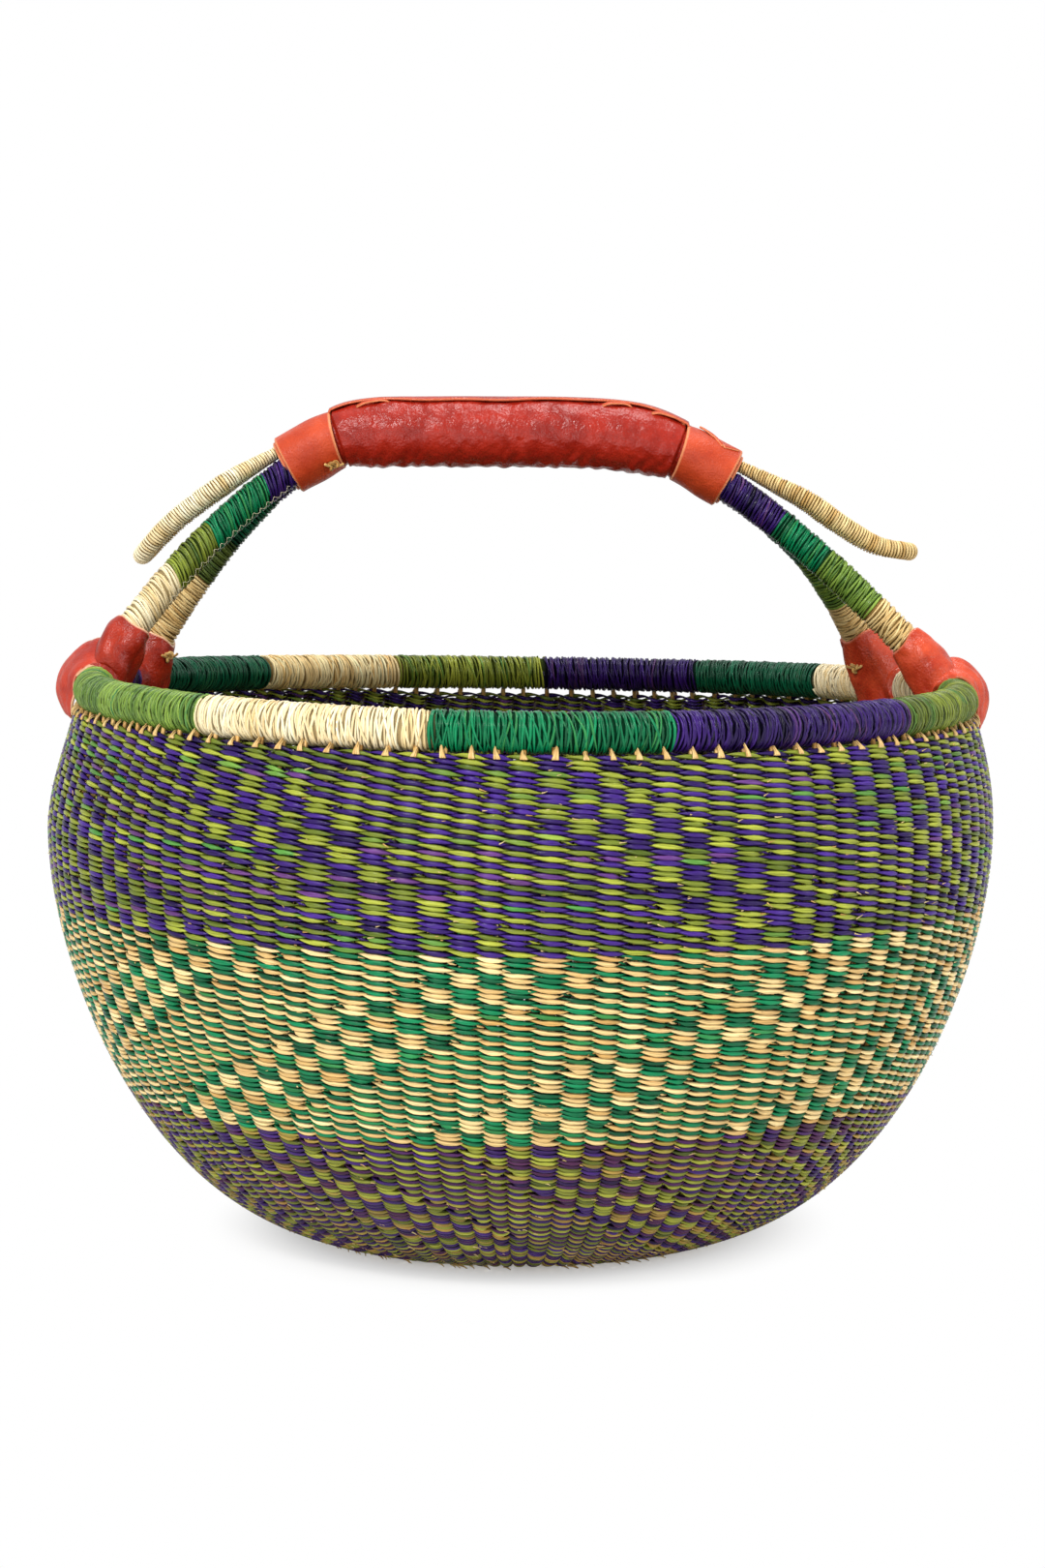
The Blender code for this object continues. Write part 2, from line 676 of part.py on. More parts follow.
def make_strap(name, angle):
    """The end of a boot's leather: over the outside of the rim and down to the wall, narrower to its tip."""
    centre = rim_point(angle)
    outward = Vector((math.cos(angle), math.sin(angle), 0))
    level = Vector((-math.sin(angle), math.cos(angle), 0))
    reach = RIM_WRAP_RADIUS + CLEARANCE + STRAP_STANDS[name]
    line = []
    for turn in spaced(strap_start(name, reach), math.radians(STRAP_END_ANGLES[name]), 8):
        line.append(centre + reach * (math.cos(turn) * outward + Vector((0, 0, math.sin(turn)))))
    tail_height = WALL_TOP - STRAP_TAIL_DROP
    edge = wall_pair(station_of_height(tail_height))[0][0] + CLEARANCE
    tail = (edge - RIM_RADIUS) * outward + Vector((0, 0, tail_height - RIM_HEIGHT))
    line.append(centre + tail)
    mesh = bpy.data.meshes.new(f"strap_{name}")
    points = []
    for number, point in enumerate(line):
        narrower = STRAP_TAPER_SHARE * number / (len(line) - 1)
        aside = level * STRAP_WIDTH / 2 * (1 - narrower)
        points += [point - aside, point + aside]
    mesh.from_pydata(points, [], [(i, i + 2, i + 3, i + 1) for i in range(0, len(points) - 2, 2)])
    obj = add_object(f"strap_{name}", mesh, "boot_leather")
    solid = obj.modifiers.new("Leather", "SOLIDIFY")
    solid.thickness = STRAP_THICKNESS
    solid.offset = 1
    solid.use_even_offset = True
    shade(mesh)


def make_ear(name, mouth, side, reach, drop, shares):
    """A stiff straw loop: out along its front strand, round its tip and back along the other."""
    forward, _, upper = grip.frame(mouth)
    inward = forward * -side
    root = grip.at(mouth) + EAR_RISE * upper
    spine = [root + inward * EAR_ROOT_DEPTH]
    for out, down in shares:
        spine.append(root + Vector((side * reach * out, 0, -drop * down)))
    line = Path(through(spine, 80))
    points = []
    radii = []
    for turn in spaced(0, math.pi, 27):
        share = math.sin(turn) ** EAR_BLUNTNESS
        station = line.length * share
        wide = EAR_ROOT_SPREAD + (EAR_SPREAD - EAR_ROOT_SPREAD) * smooth_step(share * 2)
        across = -wide * math.copysign(abs(math.cos(turn)) ** EAR_SQUARENESS, math.cos(turn))
        points.append(line.at(station) + Vector((0, across, 0)))
        near, far, part = EAR_ROOT_RADIUS, EAR_MIDDLE_RADIUS, share * 2
        if part > 1:
            near, far, part = EAR_MIDDLE_RADIUS, EAR_TIP_RADIUS, part - 1
        radii.append(near + (far - near) * smooth_step(part))
    tube(name, points, radii, "natural", resolution=1)


def make_knot(name, place):
    """A small tied knot of straw, a little flatter than it is wide."""
    mesh = bpy.data.meshes.new(name)
    shape = bmesh.new()
    bmesh.ops.create_uvsphere(shape, u_segments=8, v_segments=5, radius=KNOT_RADIUS)
    shape.to_mesh(mesh)
    shape.free()
    obj = add_object(name, mesh, "natural")
    obj.location = place
    shade(mesh)


def make_knots():
    """Knots that tie the left cuff's lower front and the inner side of each back boot."""
    station = CUFF_LENGTH * CUFF_KNOT_SHARE
    _, level, upper = grip.frame(station)
    if level.y > 0:
        level.negate()
    across = math.cos(math.radians(KNOT_ANGLE))
    down = math.sin(math.radians(KNOT_ANGLE))
    reach = CUFF_RADIUS / math.hypot(across / CUFF_WIDTH_SHARE, down) + KNOT_RADIUS + CLEARANCE
    make_knot("knot_cuff_left", grip.at(station) + reach * (across * level - down * upper))
    for name in ("back_left", "back_right"):
        path = leg_path(name)
        station = RIM_WRAP_RADIUS + BOOT_LENGTH * BOOT_KNOT_SHARE
        _, level, upper = path.frame(station)
        reach = BOOT_BULGE_RADIUS + KNOT_RADIUS + CLEARANCE
        make_knot(f"knot_boot_{name}", path.at(station) - reach * upper)


clear_scene()
parts = new_collection(COLLECTION)
materials = make_materials()
wall = wall_line()
grip = grip_path()
make_body()
make_stake_ring()
make_rim()
make_grip()
make_lace()
for leg in LEG_FOOT_ANGLES:
    make_leg(leg)
make_ear("ear_left", 0, -1, LEFT_EAR_REACH, LEFT_EAR_DROP, LEFT_EAR_SHARES)
make_ear("ear_right", grip.length, 1, RIGHT_EAR_REACH, RIGHT_EAR_DROP, RIGHT_EAR_SHARES)
make_knots()
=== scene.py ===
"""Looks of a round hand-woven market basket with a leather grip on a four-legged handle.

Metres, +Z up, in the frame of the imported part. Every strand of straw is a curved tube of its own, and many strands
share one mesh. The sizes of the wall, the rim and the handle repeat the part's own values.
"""

import math

import bpy
import numpy as np
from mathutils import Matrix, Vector, noise


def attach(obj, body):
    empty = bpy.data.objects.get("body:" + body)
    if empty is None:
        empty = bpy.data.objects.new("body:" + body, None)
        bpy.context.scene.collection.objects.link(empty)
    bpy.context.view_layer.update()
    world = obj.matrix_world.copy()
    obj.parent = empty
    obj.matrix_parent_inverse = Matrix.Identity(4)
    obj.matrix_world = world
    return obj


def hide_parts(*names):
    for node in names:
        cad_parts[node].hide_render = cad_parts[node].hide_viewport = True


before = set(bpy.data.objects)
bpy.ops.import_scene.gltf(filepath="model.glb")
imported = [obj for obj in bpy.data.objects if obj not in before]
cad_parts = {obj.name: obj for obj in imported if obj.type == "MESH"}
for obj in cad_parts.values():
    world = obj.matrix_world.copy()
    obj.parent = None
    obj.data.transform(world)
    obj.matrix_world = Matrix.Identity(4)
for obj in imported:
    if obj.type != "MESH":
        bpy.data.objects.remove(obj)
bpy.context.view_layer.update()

CLEARANCE = 0.0003

# Rim and woven wall, as in the part
RIM_RADIUS = 0.1915
RIM_HEIGHT = 0.2375
RIM_WRAP_RADIUS = 0.0082
RIM_WRAP_GAP = 0.0008
WALL_THICKNESS = 0.0058
WALL_TOP = RIM_HEIGHT - 0.0113
MOUTH_RADIUS = RIM_RADIUS + 0.009
MOUTH_FLARE = 0.0035
MOUTH_DROP = 0.013
BELLY_RADIUS = RIM_RADIUS + 0.018
BELLY_HEIGHT = WALL_TOP * 0.8
BELLY_EASE = 0.018
BELLY_PULL_SHARE = 0.37
FOOT_PULL = 0.0824
FOOT_RADIUS = 0.0793
MIDDLE_TOP = WALL_TOP * 0.663
MIDDLE_BOTTOM = WALL_TOP * 0.31
FOOT_RING_HEIGHT = 0.003
BASE_RAISE = 0.002
BASE_DOME = 0.0025
RIM_SADDLE = 0.00165
RIM_TILT_RIGHT = -0.0026
RIM_TILT_BACK = 0.0008
RIM_SHIFT_RIGHT = 0.0024
RIM_COLOURS = (
    ("natural", -131.8),
    ("green", -101.2),
    ("purple", -73.4),
    ("olive", -38.3),
    ("natural", -5.0),
    ("green", 41.0),
    ("purple", 63.0),
    ("olive", 87.3),
    ("natural", 110.2),
    ("green", 132.9),
    ("purple", 157.5),
    ("olive", 172.0),
)

# Handle, as in the part
GRIP_LEFT = -0.1060
GRIP_SPAN = 0.2005
GRIP_BACK = 0.045
GRIP_HEIGHT = RIM_HEIGHT + 0.1170
GRIP_DROP = 0.0206
GRIP_RADIUS = 0.0153
GRIP_END_RADIUS = 0.0119
GRIP_SWELL = 0.040
GRIP_SWELL_SHARE = 0.45
GRIP_STEP = 0.0012
GRIP_LEATHER = 0.0018
GRIP_ROUTE_SHARES = (
    (0, 0.70),
    (0.115, 0.13),
    (0.22, 0.01),
    (0.54, 0),
    (0.75, 0.08),
    (0.885, 0.40),
    (1, 1),
)
CUFF_LENGTH = 0.025
CUFF_RADIUS = 0.0139
CUFF_LEATHER = 0.0014
CUFF_WIDTH_SHARE = 1.2
LEG_RADIUS = 0.0073
LEG_HEAD_DEPTH = 0.0075
LEG_HEAD_SPREAD = 0.0077
LEG_HEAD_SINK = 0.0026
LEG_FOOT_ANGLES = {"front_left": 178.0, "back_left": 160.0, "front_right": 3.0, "back_right": 27.0}
LEG_FOOT_RISES = {"front_left": 68.0, "back_left": 80.0, "front_right": 56.0, "back_right": 56.0}
LEG_FOOT_SHARES = {"front_left": 0.20, "back_left": 0.10, "front_right": 0.15, "back_right": 0.36}
LEG_HEAD_SHARES = {"front_left": 0.30, "back_left": 0.30, "front_right": 0.30, "back_right": 0.50}
LEG_COLOURS = ("natural", "olive", "green", "purple")
LEFT_COLOUR_SHARES = (0.28, 0.25, 0.33, 0.14)
RIGHT_COLOUR_SHARES = (0.19, 0.29, 0.24, 0.28)
BOOT_LENGTH = 0.0225
BOOT_TOP_RADIUS = 0.0087
BOOT_BULGE_RADIUS = 0.0108
BOOT_FOOT_RADIUS = 0.0098
BOOT_LEATHER = 0.0012
STRAP_WIDTH = 0.017
STRAP_THICKNESS = 0.0018
STRAP_TAPER_SHARE = 0.45
STRAP_TAIL_DROP = 0.0027
STRAP_STANDS = {"front_left": 0.0100, "back_left": 0.0, "front_right": 0.0052, "back_right": 0.0}
EAR_RISE = 0.0076
EAR_ROOT_DEPTH = 0.005
EAR_ROOT_SPREAD = 0.0048
EAR_SPREAD = 0.0150
EAR_ROOT_RADIUS = 0.0026
EAR_MIDDLE_RADIUS = 0.0045
EAR_TIP_RADIUS = 0.0042
LEFT_EAR_REACH = 0.0640
LEFT_EAR_DROP = 0.0480
RIGHT_EAR_REACH = 0.0800
RIGHT_EAR_DROP = 0.0400
LEFT_EAR_SHARES = ((0, 0), (0.12, 0.09), (0.35, 0.27), (0.62, 0.52), (0.81, 0.73), (1, 1))
RIGHT_EAR_SHARES = ((0, 0), (0.16, 0.16), (0.41, 0.42), (0.58, 0.66), (0.80, 0.92), (1, 1))
EAR_BLUNTNESS = 0.8
EAR_SQUARENESS = 0.6
LACE_ANGLE = 52.0
KNOT_RADIUS = 0.0024
KNOT_ANGLE = 43.0
CUFF_KNOT_SHARE = 0.75
BOOT_KNOT_SHARE = 0.35

# Twined weave: two strands wound round each other between the stakes, row over row
STAKES = 112
STAKE_RADIUS = 0.0012
SAMPLES = 6
STRAND_SIDES = 6
ROWS_UPPER = 37
ROWS_MIDDLE = 39
ROWS_LOWER = 52
ROWS_FOOT = 5
ROWS_BASE = 34
ROWS_A_PIECE = 12
STRAND_OUT = 0.00185
STRAND_DEPTH = 0.00120
STRAND_SWAY_SHARE = 0.36
BEAD_SHARE = 0.62
CROSSING_SHARE = 0.11
BEAD_REACH = 1.45
BEAD_POINT = 0.55
PINCH_OUT = 0.25
PINCH_SHARE = 0.5
TOP_ROW_RISE = 0.0034
TOP_ROW_LEAN = 0.0014
# Painted shade: near-black strips in the middle of the wall, one in each gap between the stakes
SHADE_STRIP_SHARE = 0.28
SHADE_STRIP_DEPTH = 0.0003
SHADE_STRIP_START = 0.0024
MOUTH_SLOT_ANGLE = 86.0
MOUTH_SLOT_DROP = 0.0023
FEWER_STAKES = ((0.078, 56), (0.040, 28), (0.018, 14))
POST_STRAW = 0.00078
POST_SPREAD = 0.0010
POST_LEAN = 0.0010
POST_OUT = -0.0002
POST_INWARD = 0.0026
POST_BASE = 0.0016
POST_RISES = (0.0030, 0.0056)
POST_SIZES = (0.70, 1.0)

# Zones of the pattern, in stakes and rows: blocks in slanting strips, slanting lines between them
ZONE_STAKES = STAKES / 9
ZONE_HALF_WIDTH = 3.1
BLOCK_ROWS = 3
UPPER_ZONE = (-12.8, 0.30)
MIDDLE_ZONE = (1.1, -0.40)
LOWER_ZONE = (0.0, 0.30)

# Bindings
RIM_PITCH = 0.00170
LEG_PITCH = 0.00165
LEG_SLANTS = {"front_left": 0.0026, "back_left": 0.0012, "front_right": 0.0004, "back_right": 0.0002}
EAR_PITCH = 0.00135
POINTS_PER_TURN = 18
CROSSINGS = ((1.7, 0.0016), (2.1, -0.0014))
RIM_LEAD_INS = {4: ("moss", 7.0)}
BED_SHADE = 0.90

# Leather: creases along the grip, its seam and laces, the cuffs' second layer, the boots' folds and slits
CREASE_WAVES = 820
SEAM_ANGLE = 66.0
SEAM_SPREAD = 50.0
SEAM_WANDER = 4.0
SEAM_LIFT = 0.0009
LACE_SHARES = ((0.17, 0.24), (0.70, 0.76), (0.80, 0.87))
LACE_SLANT = 5.0
LACE_WIDTH = 0.0022
LACE_THICKNESS = 0.0008
LINING_REACH = 0.0016
LEATHER_SHEEN = 0.27
WRINKLE_SHARPNESS = 0.6
WRINKLE_LEVEL = 0.4
BOOT_WRINKLES = 0.0013
STRAP_WRINKLES = 0.0009
BOOT_FOLDS = {"front_left": 0.0013, "back_left": 0.0005, "front_right": 0.0003, "back_right": 0.0003}
BOOT_SLITS = {"front_left": 5.4, "back_left": 4.5, "front_right": 2.6, "back_right": 2.7}
BOOT_DYES = {
    "front_left": "dark_leather",
    "back_left": "dark_leather",
    "front_right": "boot_leather",
    "back_right": "boot_leather",
}
BOOT_SKIRT = 0.012
BOOT_FLARES = {"front_left": 0.0055, "back_left": 0.0080, "front_right": 0.0075, "back_right": 0.0080}
BOOT_SPREADS = {"front_left": 0.0, "back_left": 0.0080, "front_right": 0.0, "back_right": 0.0110}
BOOT_ON_RIM = 0.0019
BOOT_HEIGHT_SHARES = {"front_left": 0.94, "back_left": 0.62, "front_right": 1.0, "back_right": 1.0}
STRAP_ENDS = {"front_left": -40, "back_left": -8, "front_right": -40, "back_right": -8}
STRAP_CREASES = {"front_left": 0.0004, "back_left": 0.0, "front_right": 0.0010, "back_right": 0.0}
FLAT_STANDS = ((118, -0.0010), (-8, -0.0008))
STRAP_FAR_STANDS = {
    "front_left": ((118, 0.0080), (90, 0.0105), (54, 0.0086), (21, 0.0098), (-1, 0.0102), (-40, 0.0110)),
    "back_left": FLAT_STANDS,
    "front_right": ((118, 0.0040), (90, 0.0064), (50, 0.0062), (9, 0.0080), (-5, 0.0086), (-40, 0.0095)),
    "back_right": FLAT_STANDS,
}
STRAP_NEAR_STANDS = {
    "front_left": ((118, -0.0010), (90, -0.0010), (54, -0.0009), (10, -0.0009), (-24, 0.0004), (-40, 0.0042)),
    "back_left": FLAT_STANDS,
    "front_right": ((118, -0.0010), (90, -0.0010), (54, -0.0010), (10, -0.0010), (-24, 0.0002), (-40, 0.0038)),
    "back_right": FLAT_STANDS,
}
KNOT_STRAND = 0.00075

# Loose straw
SPECKS = 1300
SPECK_LENGTHS = (0.0010, 0.0034)
SPECK_RADIUS = 0.00030
FOOT_STUBS = 90
THREAD_WAVE = 0.0042
THREAD_ANGLE = -56.0
THREAD_RADIUS = 0.00011

# Straw colours in linear light: the darkest straw, the palest and the odd one out
STRAW = {
    "olive": ((0.080, 0.120, 0.012), (0.400, 0.440, 0.050), (0.040, 0.260, 0.050)),
    "bronze": ((0.060, 0.080, 0.010), (0.400, 0.420, 0.050), (0.440, 0.240, 0.060)),
    "moss": ((0.042, 0.110, 0.016), (0.260, 0.400, 0.060), (0.020, 0.200, 0.070)),
    "fern": ((0.040, 0.070, 0.010), (0.260, 0.320, 0.036), (0.028, 0.180, 0.045)),
    "shade": ((0.028, 0.050, 0.012), (0.130, 0.180, 0.034), (0.030, 0.100, 0.035)),
    "purple": ((0.010, 0.002, 0.045), (0.060, 0.020, 0.240), (0.150, 0.050, 0.200)),
    "grape": ((0.002, 0.001, 0.012), (0.046, 0.012, 0.175), (0.120, 0.040, 0.150)),
    "plum": ((0.014, 0.003, 0.036), (0.062, 0.020, 0.190), (0.080, 0.016, 0.045)),
    "green": ((0.001, 0.058, 0.021), (0.002, 0.235, 0.086), (0.045, 0.250, 0.055)),
    "pine": ((0.001, 0.036, 0.015), (0.004, 0.130, 0.058), (0.020, 0.130, 0.050)),
    "natural": ((0.760, 0.560, 0.260), (1.000, 0.930, 0.680), (0.720, 0.500, 0.200)),
    "wheat": ((0.560, 0.330, 0.100), (0.950, 0.750, 0.370), (0.680, 0.400, 0.140)),
    "amber": ((0.820, 0.540, 0.200), (1.000, 0.920, 0.560), (0.820, 0.500, 0.180)),
    "tan": ((0.520, 0.240, 0.050), (0.860, 0.560, 0.200), (0.900, 0.700, 0.400)),
    # A near-black tint for the strips of painted shade between the stakes
    "core_painted_shade": ((0.016, 0.011, 0.007), (0.050, 0.032, 0.015), (0.040, 0.026, 0.012)),
}
# Painted light and shade: the back sections take a darker green (pine), a golden natural (amber) and a paler olive
# than the front ones, so that each section's straw carries how light falls on it there.
RIM_STRAW = (
    "natural",
    "green",
    "grape",
    "fern",
    "natural",
    "pine",
    "grape",
    "olive",
    "amber",
    "pine",
    "grape",
    "moss",
)
# Painted shade: the back legs take a darker green (pine), and the back-left leg a darker olive (shade), than the front
# legs.
LEG_STRAW = {
    "front_left": ("natural", "fern", "green", "grape"),
    "back_left": ("wheat", "shade", "pine", "grape"),
    "front_right": ("wheat", "moss", "green", "grape"),
    "back_right": ("wheat", "moss", "pine", "grape"),
}
ODD_STRAWS = 0.08
MORE_ODD_STRAWS = {"plum": 0.45, "bronze": 0.34}

CAMERA_LENS = 70.36
CAMERA_SENSOR = 36.0
CAMERA_PLACE = (0.0009, -1.366, 0.324)
CAMERA_PITCH = 5.29

random = np.random.default_rng(7)


# Curves


def smooth_step(share):
    share = np.clip(share, 0, 1)
    return share * share * (3 - 2 * share)


def unit(vectors):
    return vectors / np.linalg.norm(vectors, axis=-1, keepdims=True)


def cubic(places, shares):
    """Points at shares of the way along a cubic Bezier curve."""
    start, first, second, end = np.array(places, float)
    share = np.asarray(shares, float)[:, None]
    rest = 1 - share
    return rest**3 * start + 3 * rest**2 * share * first + 3 * rest * share**2 * second + share**3 * end


def through(places, count):
    """Points on a smooth curve that passes through the given places (Catmull-Rom)."""
    places = np.array(places, float)
    places = np.vstack([2 * places[0] - places[1], places, 2 * places[-1] - places[-2]])
    spans = len(places) - 3
    share = np.linspace(0, spans, count)
    i = np.minimum(share.astype(int), spans - 1)
    t = (share - i)[:, None]
    a, b, c, d = (places[i + step] for step in range(4))
    square = 2 * a - 5 * b + 4 * c - d
    cube = 3 * b - a - 3 * c + d
    return 0.5 * (2 * b + (c - a) * t + square * t**2 + cube * t**3)


class Path:
    """A curve in space that gives points and directions at distances from its start."""

    def __init__(self, points):
        self.points = np.array(points, float)
        steps = np.linalg.norm(np.diff(self.points, axis=0), axis=1)
        self.stations = np.concatenate([[0], np.cumsum(steps)])
        self.length = float(self.stations[-1])

    def at(self, distances):
        return np.stack([np.interp(distances, self.stations, axis) for axis in self.points.T], -1)

    def along(self, distances):
        """The unit direction there, read over a short stretch."""
        reach = self.length / len(self.points)
        low = np.clip(np.asarray(distances, float) - reach, 0, self.length - 2 * reach)
        return unit(self.at(low + 2 * reach) - self.at(low))

    def frames(self, distances):
        """The direction there, the level one square to it from front to back, and the upper one."""
        forward = self.along(distances)
        upper = unit(np.cross(forward, (0, 1, 0)))
        upper = np.where(upper[..., 2:] < 0, -upper, upper)
        return forward, unit(np.cross(forward, upper)), upper


# The lines of the part


def rim_rise(angle):
    """How far the mouth stands above its level at an angle in radians."""
    saddle = RIM_SADDLE * np.cos(2 * angle)
    return saddle + RIM_TILT_RIGHT * np.cos(angle) + RIM_TILT_BACK * np.sin(angle)


def settled(points):
    """Moves points out of true with the mouth, not at all at the belly and fully at the mouth."""
    points = np.array(points, float)
    share = smooth_step((points[..., 2] - BELLY_HEIGHT) / (WALL_TOP - BELLY_HEIGHT))
    angle = np.arctan2(points[..., 1], points[..., 0])
    points[..., 0] += share * RIM_SHIFT_RIGHT
    points[..., 2] += share * rim_rise(angle)
    return points


def skin_line():
    """The wall's outer line from its top edge to its foot, and on under the base to its middle."""
    top = ((MOUTH_RADIUS - TOP_ROW_LEAN, 0, WALL_TOP + TOP_ROW_RISE),)
    upper = (
        (MOUTH_RADIUS, 0, WALL_TOP),
        (MOUTH_RADIUS + MOUTH_FLARE, 0, WALL_TOP - MOUTH_DROP),
        (BELLY_RADIUS, 0, BELLY_HEIGHT + BELLY_EASE),
        (BELLY_RADIUS, 0, BELLY_HEIGHT),
    )
    lower = (
        (BELLY_RADIUS, 0, BELLY_HEIGHT),
        (BELLY_RADIUS, 0, BELLY_HEIGHT * (1 - BELLY_PULL_SHARE)),
        (FOOT_RADIUS + FOOT_PULL, 0, 0),
        (FOOT_RADIUS, 0, 0),
    )
    base = (
        (FOOT_RADIUS, 0, 0),
        (FOOT_RADIUS * 0.9, 0, 0),
        (FOOT_RADIUS * 0.5, 0, BASE_RAISE + BASE_DOME),
        (0, 0, BASE_RAISE + BASE_DOME),
    )
    shares = np.linspace(0, 1, 80)
    lines = [top, cubic(upper, shares), cubic(lower, shares[1:]), cubic(base, shares[1:])]
    return Path(np.vstack(lines))


def station_of_height(height):
    """How far down the wall's line a height is met."""
    down = int(np.argmin(skin.points[:, 2]))
    return float(np.interp(-height, -skin.points[: down + 1, 2], skin.stations[: down + 1]))


def rim_point(angle):
    """The middle of the rim at an angle in radians."""
    x = RIM_RADIUS * math.cos(angle) + RIM_SHIFT_RIGHT
    return np.array((x, RIM_RADIUS * math.sin(angle), RIM_HEIGHT + rim_rise(angle)))


def grip_path():
    places = [
        (GRIP_LEFT + along * GRIP_SPAN, GRIP_BACK, GRIP_HEIGHT - down * GRIP_DROP)
        for along, down in GRIP_ROUTE_SHARES
    ]
    return Path(through(places, 90))


def grip_radius(distance):
    """The leather's outer radius: slim under the cuffs and full between them."""
    from_end = np.minimum(distance, grip.length - distance) - CUFF_LENGTH - GRIP_STEP
    swell = smooth_step(from_end / GRIP_SWELL + GRIP_SWELL_SHARE)
    full = GRIP_END_RADIUS + (GRIP_RADIUS - GRIP_END_RADIUS) * swell
    return np.where(from_end < 0, GRIP_END_RADIUS, full)


def leg_path(name):
    """A leg's line, from the middle of the rim up into its cuff."""
    foot = rim_point(math.radians(LEG_FOOT_ANGLES[name]))
    left = name.endswith("left")
    depth = LEG_HEAD_DEPTH if left else grip.length - LEG_HEAD_DEPTH
    forward, _, upper = grip.frames(depth)
    if not left:
        forward = -forward
    spread = np.array((0, -LEG_HEAD_SPREAD if name.startswith("front") else LEG_HEAD_SPREAD, 0))
    head = grip.at(depth) + spread - LEG_HEAD_SINK * upper
    reach = np.linalg.norm(head - foot)
    inward = unit(np.array((head[0] - foot[0], head[1] - foot[1], 0)))
    rise = math.radians(LEG_FOOT_RISES[name])
    start = math.cos(rise) * inward + np.array((0, 0, math.sin(rise)))
    first = foot + LEG_FOOT_SHARES[name] * reach * start
    second = head - LEG_HEAD_SHARES[name] * reach * forward
    return Path(cubic((foot, first, second, head), np.linspace(0, 1, 60)))


# Straw


def straw_tint(colour, share, odd=0.0):
    """Straw colours between the darkest and the palest of their kind, drawn towards the odd one."""
    dark, pale, other = np.array(STRAW[colour], float)
    plain = dark + (pale - dark) * np.clip(share, 0, 1)[..., None]
    return plain + (other - plain) * np.asarray(odd)[..., None]


def straw_run(colour, count, shortest, longest, unevenness=0.0):
    """A colour for each of count places along a strand, the same for as long as one straw lasts."""
    shares = np.empty(count)
    odds = np.zeros(count)
    place = 0
    while place < count:
        length = int(random.integers(shortest, longest + 1))
        shares[place : place + length] = random.beta(1.7, 2.0)
        if random.random() < MORE_ODD_STRAWS.get(colour, ODD_STRAWS):
            odds[place : place + length] = random.uniform(0.3, 0.8)
        place += length
    return straw_tint(colour, shares + random.uniform(-unevenness, unevenness, count), odds)


def seated(points):
    """Settles points of the weave, and lowers its top edge at the back, where the open row shows."""
    points = np.array(points, float)
    angle = np.arctan2(points[..., 1], points[..., 0]) - math.radians(MOUTH_SLOT_ANGLE)
    near_top = smooth_step((points[..., 2] - WALL_TOP + 0.012) / 0.012)
    points[..., 2] -= MOUTH_SLOT_DROP * near_top * smooth_step((np.cos(angle) - 0.85) / 0.11)
    return settled(points)


